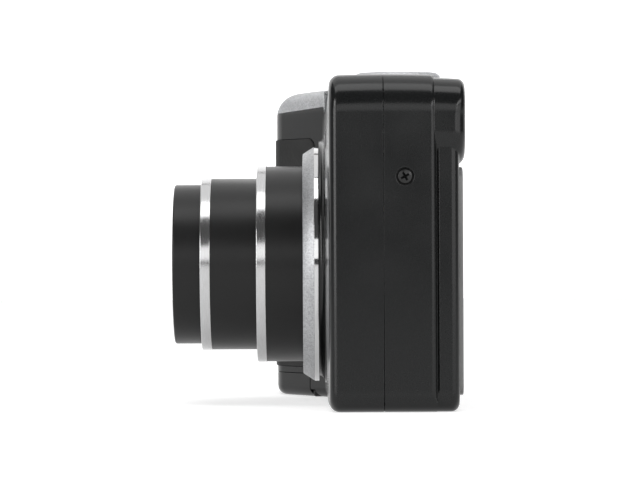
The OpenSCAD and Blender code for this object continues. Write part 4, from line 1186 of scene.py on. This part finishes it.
# Controls
def button(name, axis, place, r, flange_r, flange_h, dish, edge, material):
    """A round key as tall as its node, with a rolled rim, a dished face and its retaining flange."""
    along = "xyz".index(axis)
    foot, top = (corner[along] for corner in corners(name))
    face = [(r * t, top - dish * (1 - t * t)) for t in (0.0, 0.25, 0.5, 0.7)]
    side = [(r - edge, top), (r, top), (r, foot + flange_h), (flange_r, foot + flange_h), (flange_r, foot),
            (0.0, foot)]
    profile = filleted(face + side, [0] * 5 + [edge, 0.05, 0.1, 0.1, 0], True)
    if axis == "z":
        profile = profile[::-1]
    make(name + ".key", [lathe(profile, place, axis, 96)], material, name, [name])


def build_dial():
    """The mode dial: ribbed side, stepped crown and a turned top with plain marks round its edge."""
    lo, hi = corners("mode_dial")
    x, y = (lo[0] + hi[0]) / 2, (lo[1] + hi[1]) / 2
    z0, z1 = 71.7, hi[2]
    ribs, depth = 48, 0.3

    def swell(t, r, h):
        if r < 9.85 or not z0 + 0.3 < h < z1 - 0.75:
            return 0
        return -depth * (0.5 - 0.5 * math.cos(ribs * t)) ** 1.5

    side = [(9.9, z0 + 0.25 + (z1 - z0 - 1.0) * k / 8) for k in range(9)]
    outline = [(0.0, lo[2]), (4.2, lo[2]), (4.2, lo[2] + 1.9), (3.0, lo[2] + 1.9), (3.0, z0), (9.4, z0)]
    top = [(9.86, z1 - 0.66), (9.2, z1 - 0.06), (9.05, z1), (8.3, z1), (8.16, z1 - 0.22), (7.9, z1 - 0.25),
           (3.2, z1 - 0.13), (0.0, z1 - 0.1)]
    knob = lathe(outline + side + top, (x, y, 0), "z", 384, swell)
    marks = [dial_mark((x, y, z1 - 0.3), 2 * math.pi * k / 10, 5.4 if k else 4.2) for k in range(10)]
    make("mode_dial.knob", [knob] + marks, silver, "mode_dial", ["mode_dial"])


def dial_mark(place, angle, start):
    """A plain raised bar that points out from the middle of the dial."""
    end, half = 7.3, 0.28
    u = np.array([math.cos(angle), math.sin(angle), 0])
    v = np.array([-math.sin(angle), math.cos(angle), 0])
    loops = []
    for inset, rise in ((0, 0), (0, 0.24), (0.06, 0.3)):
        a, b, w = start + inset, end - inset, half - inset
        ends = ((a, -w), (b, -w), (b, w), (a, w))
        loops.append(np.array([u * s + v * t + np.array([0, 0, rise]) for s, t in ends]) + np.array(place))
    return loft(loops)


def lever_field(p):
    """The zoom ring with its finger tab, which is higher than the ring and ridged in front."""
    ring_r, bore, tab_y, low, high = 7.0, 4.55, 8.9, 71.6, 73.2
    x, y, z = p[:, 0] - SHUTTER[0], p[:, 1] - SHUTTER[1], p[:, 2]
    r = np.hypot(x, y)
    ridges = 0.13 * np.cos(2 * math.pi * x / 1.1) * smooth(7.6, 8.2, -y)
    tab = rounded(np.abs(x) - (3.4 + 0.9 * y / tab_y), np.maximum(-y - tab_y, y) + ridges, 0.7)
    flat = blend_min(r - ring_r, tab, 1.6)
    lift = 0.75 * smooth(5.2, 8.4, -y) * smooth(3.6, 2.2, np.abs(x))
    return np.maximum(rounded(flat, np.maximum(low - z, z - high - lift), 0.4), bore - r)


def build_lever():
    verts, quads = nets(lever_field, [ticks(-55.3, -39.0, 0.3, ((-51.0, -43.0, 0.16),)),
                                      ticks(-11.2, 6.6, 0.3), ticks(71.2, 74.6, 0.25)])
    sleeve = lathe([(4.55, 67.8), (6.65, 67.8), (6.65, 68.9), (5.85, 68.9), (5.85, 72.0), (4.55, 72.0)],
                   (*SHUTTER, 0), "z", 96)
    make("zoom_lever.ring", [(verts, quads.tolist(), None), sleeve], silver, "zoom_lever", ["zoom_lever"])


def build_controls():
    button("shutter_button", "z", (*SHUTTER, 0), r=4.4, flange_r=5.2, flange_h=0.8, dish=0.35, edge=0.7,
           material=chrome)
    button("power_button", "z", (*POWER, 0), r=3.0, flange_r=3.8, flange_h=0.9, dish=0.2, edge=0.3,
           material=silver)
    keys = (("play_button", PLAY, 3.0), ("menu_button", MENU, 3.0), ("set_button", WHEEL, 4.6))
    for name, (x, z), r in keys:
        button(name, "y", (x, 0, z), r, flange_r=r + 0.8, flange_h=0.8, dish=0.22, edge=0.4,
               material=key_plastic)


def build_wheel():
    """The control wheel round the set key, with a finely knurled rim."""
    lo, hi = corners("control_wheel")
    low, high = lo[1], hi[1]
    ribs, depth = 48, 0.2

    def knurl(t, r, h):
        return -depth * (0.5 - 0.5 * math.cos(ribs * t)) if r > 9.9 and h > 15.3 else 0

    outline = [(4.75, low), (6.85, low), (6.85, low + 0.6), (6.05, low + 0.6), (6.05, 14.7), (10.5, 14.7),
               (10.5, high), (8.2, high - 0.05), (6.2, high - 0.35), (4.75, high - 0.25)]
    profile = filleted(outline, [0, 0.1, 0.1, 0.05, 0.05, 0.1, 0.45, 0.8, 0.8, 0.2], True)
    x, z = WHEEL
    make("control_wheel.ring", [lathe(profile[::-1], (x, 0, z), "y", 288, knurl)], key_plastic,
         "control_wheel", ["control_wheel"])


def build_windows():
    lo, hi = corners("lcd_window")
    rim, drop = 0.5, 0.6
    hi[2] -= drop
    glass = plate((lo[0] + rim, hi[0] - rim), (lo[2] + rim, hi[2] - rim), lo[1], hi[1], 2.0, 0.1)
    make("lcd_window.glass", [glass], screen_glass, "body", ["lcd_window"])
    outer = plate((lo[0], hi[0]), (lo[2], hi[2]), lo[1], hi[1] - 0.02, 2.5, 0.3)
    make("lcd_window.edge", [outer], acrylic_edge, "body", [])
    lo, hi = corners("flash_window")
    proud = 0.45
    shapes = [plate((lo[0], hi[0]), (lo[2], hi[2]), hi[1], lo[1] - proud, 1.0, 0.3)]
    make("flash_window.pane", shapes, ribbed_clear, "body", ["flash_window"])
    lo, hi = corners("focus_lamp")
    x, z = (lo[0] + hi[0]) / 2, (lo[2] + hi[2]) / 2
    top = lo[1] + 0.25
    profile = [(0.0, top), (0.9, top + 0.05), (1.6, top + 0.15), (2.05, top + 0.35), (2.2, top + 0.55),
               (2.2, hi[1]), (0.0, hi[1])]
    make("focus_lamp.dome", [lathe(profile, (x, 0, z), "y", 64)], amber_plastic, "body", ["focus_lamp"])


build_top_cover()
build_front_cover()
build_grip_pad()
build_battery_door()
build_rear_cover()
build_screws()
build_port_cover()
build_lens()
build_dial()
build_lever()
build_controls()
build_wheel()
build_windows()


# Studio, in metres
PANEL_OFF = 1.2
FOCAL_MM, SENSOR_MM = 187.2, 36
CAMERA_PLACE, CAMERA_ROLL = (0.745, -0.014, 0.0363), math.radians(-0.26)


def emitter(name, seen, diffuse):
    """Plain diffuse, so that it keeps the object's shadow, and also glowing for what sees or mirrors it."""
    mat = bpy.data.materials.new(name)
    mat.use_nodes = True
    mat.node_tree.nodes.clear()
    path = add(mat, "LightPath")
    first, second = add(mat, "Math"), add(mat, "Math")
    first.operation = second.operation = "MAXIMUM"
    link(mat, path, "Is Camera Ray", first, 0)
    link(mat, path, "Is Glossy Ray", first, 1)
    link(mat, first, "Value", second, 0)
    link(mat, path, "Is Transmission Ray", second, 1)
    level = add(mat, "MapRange", To_Min=0, To_Max=seen)
    link(mat, second, "Value", level, "Value")
    glow = add(mat, "Emission", Color=(1, 1, 1, 1))
    link(mat, level, "Result", glow, "Strength")
    matte = add(mat, "BsdfDiffuse", Color=(diffuse, diffuse, diffuse, 1))
    both = add(mat, "AddShader")
    link(mat, glow, 0, both, 0)
    link(mat, matte, 0, both, 1)
    link(mat, both, 0, add(mat, "OutputMaterial"), "Surface")
    return mat


def stage_sheet(name, points, material):
    mesh = bpy.data.meshes.new(name)
    mesh.from_pydata(points, [], [list(range(len(points)))])
    sheet = bpy.data.objects.new(name, mesh)
    bpy.context.scene.collection.objects.link(sheet)
    mesh.materials.append(material)


stage_sheet("floor", [(-6, -6, 0), (6, -6, 0), (6, 6, 0), (-6, 6, 0)],
            emitter("floor_white", seen=0.64, diffuse=0.58))
stage_sheet("backdrop", [(-1.3, -3, -0.2), (-1.3, 3, -0.2), (-1.3, 3, 1.2), (-1.3, -3, 1.2)],
            emitter("backdrop_white", seen=1.0, diffuse=0.6))


def lamp(name, place, look_at, width, height, level):
    """An area lamp of the wanted radiance."""
    data = bpy.data.lights.new(name, "AREA")
    data.shape = "RECTANGLE"
    data.size = width
    data.size_y = height
    data.energy = level * width * height * math.pi
    lit = bpy.data.objects.new(name, data)
    lit.location = place
    lit.rotation_euler = (Vector(look_at) - Vector(place)).to_track_quat("-Z", "Y").to_euler()
    bpy.context.scene.collection.objects.link(lit)


lamp("overhead_softbox", (0.185, -0.02, 0.95), (0.185, -0.02, 0.0), 0.43, 1.2, 3.3)
lamp("ceiling_bounce", (-0.62, -0.02, 1.2), (-0.62, -0.02, 0.0), 1.1, 1.8, 1.2)
lamp("front_panel", (1.5, -0.02, 0.44), (0.0, -0.02, 0.44), 1.8, 0.54, 1.8)


def panel(name, azimuth, z, width, height, level):
    """An upright lamp beside the object, at an angle from +X towards +Y."""
    t = math.radians(azimuth)
    lamp(name, (PANEL_OFF * math.cos(t), PANEL_OFF * math.sin(t), z), (0, 0, z), width, height, level)


panel("lens_side_low", -50, 0.165, 0.55, 0.32, 5.6)
panel("lens_side_key", -50, 0.58, 0.4, 0.46, 8.0)
panel("rear_side_low", 40, 0.165, 1.1, 0.32, 2.3)
panel("rear_side_key", 40, 0.56, 1.1, 0.3, 4.5)
panel("lens_front_panel", -110, 0.36, 0.9, 0.6, 0.45)

world = bpy.data.worlds.new("world")
world.use_nodes = True
world.node_tree.nodes["Background"].inputs["Color"].default_value = (0.1, 0.1, 0.1, 1)
bpy.context.scene.world = world

camera_data = bpy.data.cameras.new("camera")
camera_data.sensor_width = SENSOR_MM
camera_data.lens = FOCAL_MM
camera_data.clip_start = 0.05
camera = bpy.data.objects.new("camera", camera_data)
look = Matrix(((0, 0, 1), (1, 0, 0), (0, 1, 0))).to_4x4()
camera.matrix_world = Matrix.Translation(CAMERA_PLACE) @ look @ Matrix.Rotation(CAMERA_ROLL, 4, "Z")
bpy.context.scene.collection.objects.link(camera)
bpy.context.scene.camera = camera
bpy.context.scene.view_settings.view_transform = "Standard"
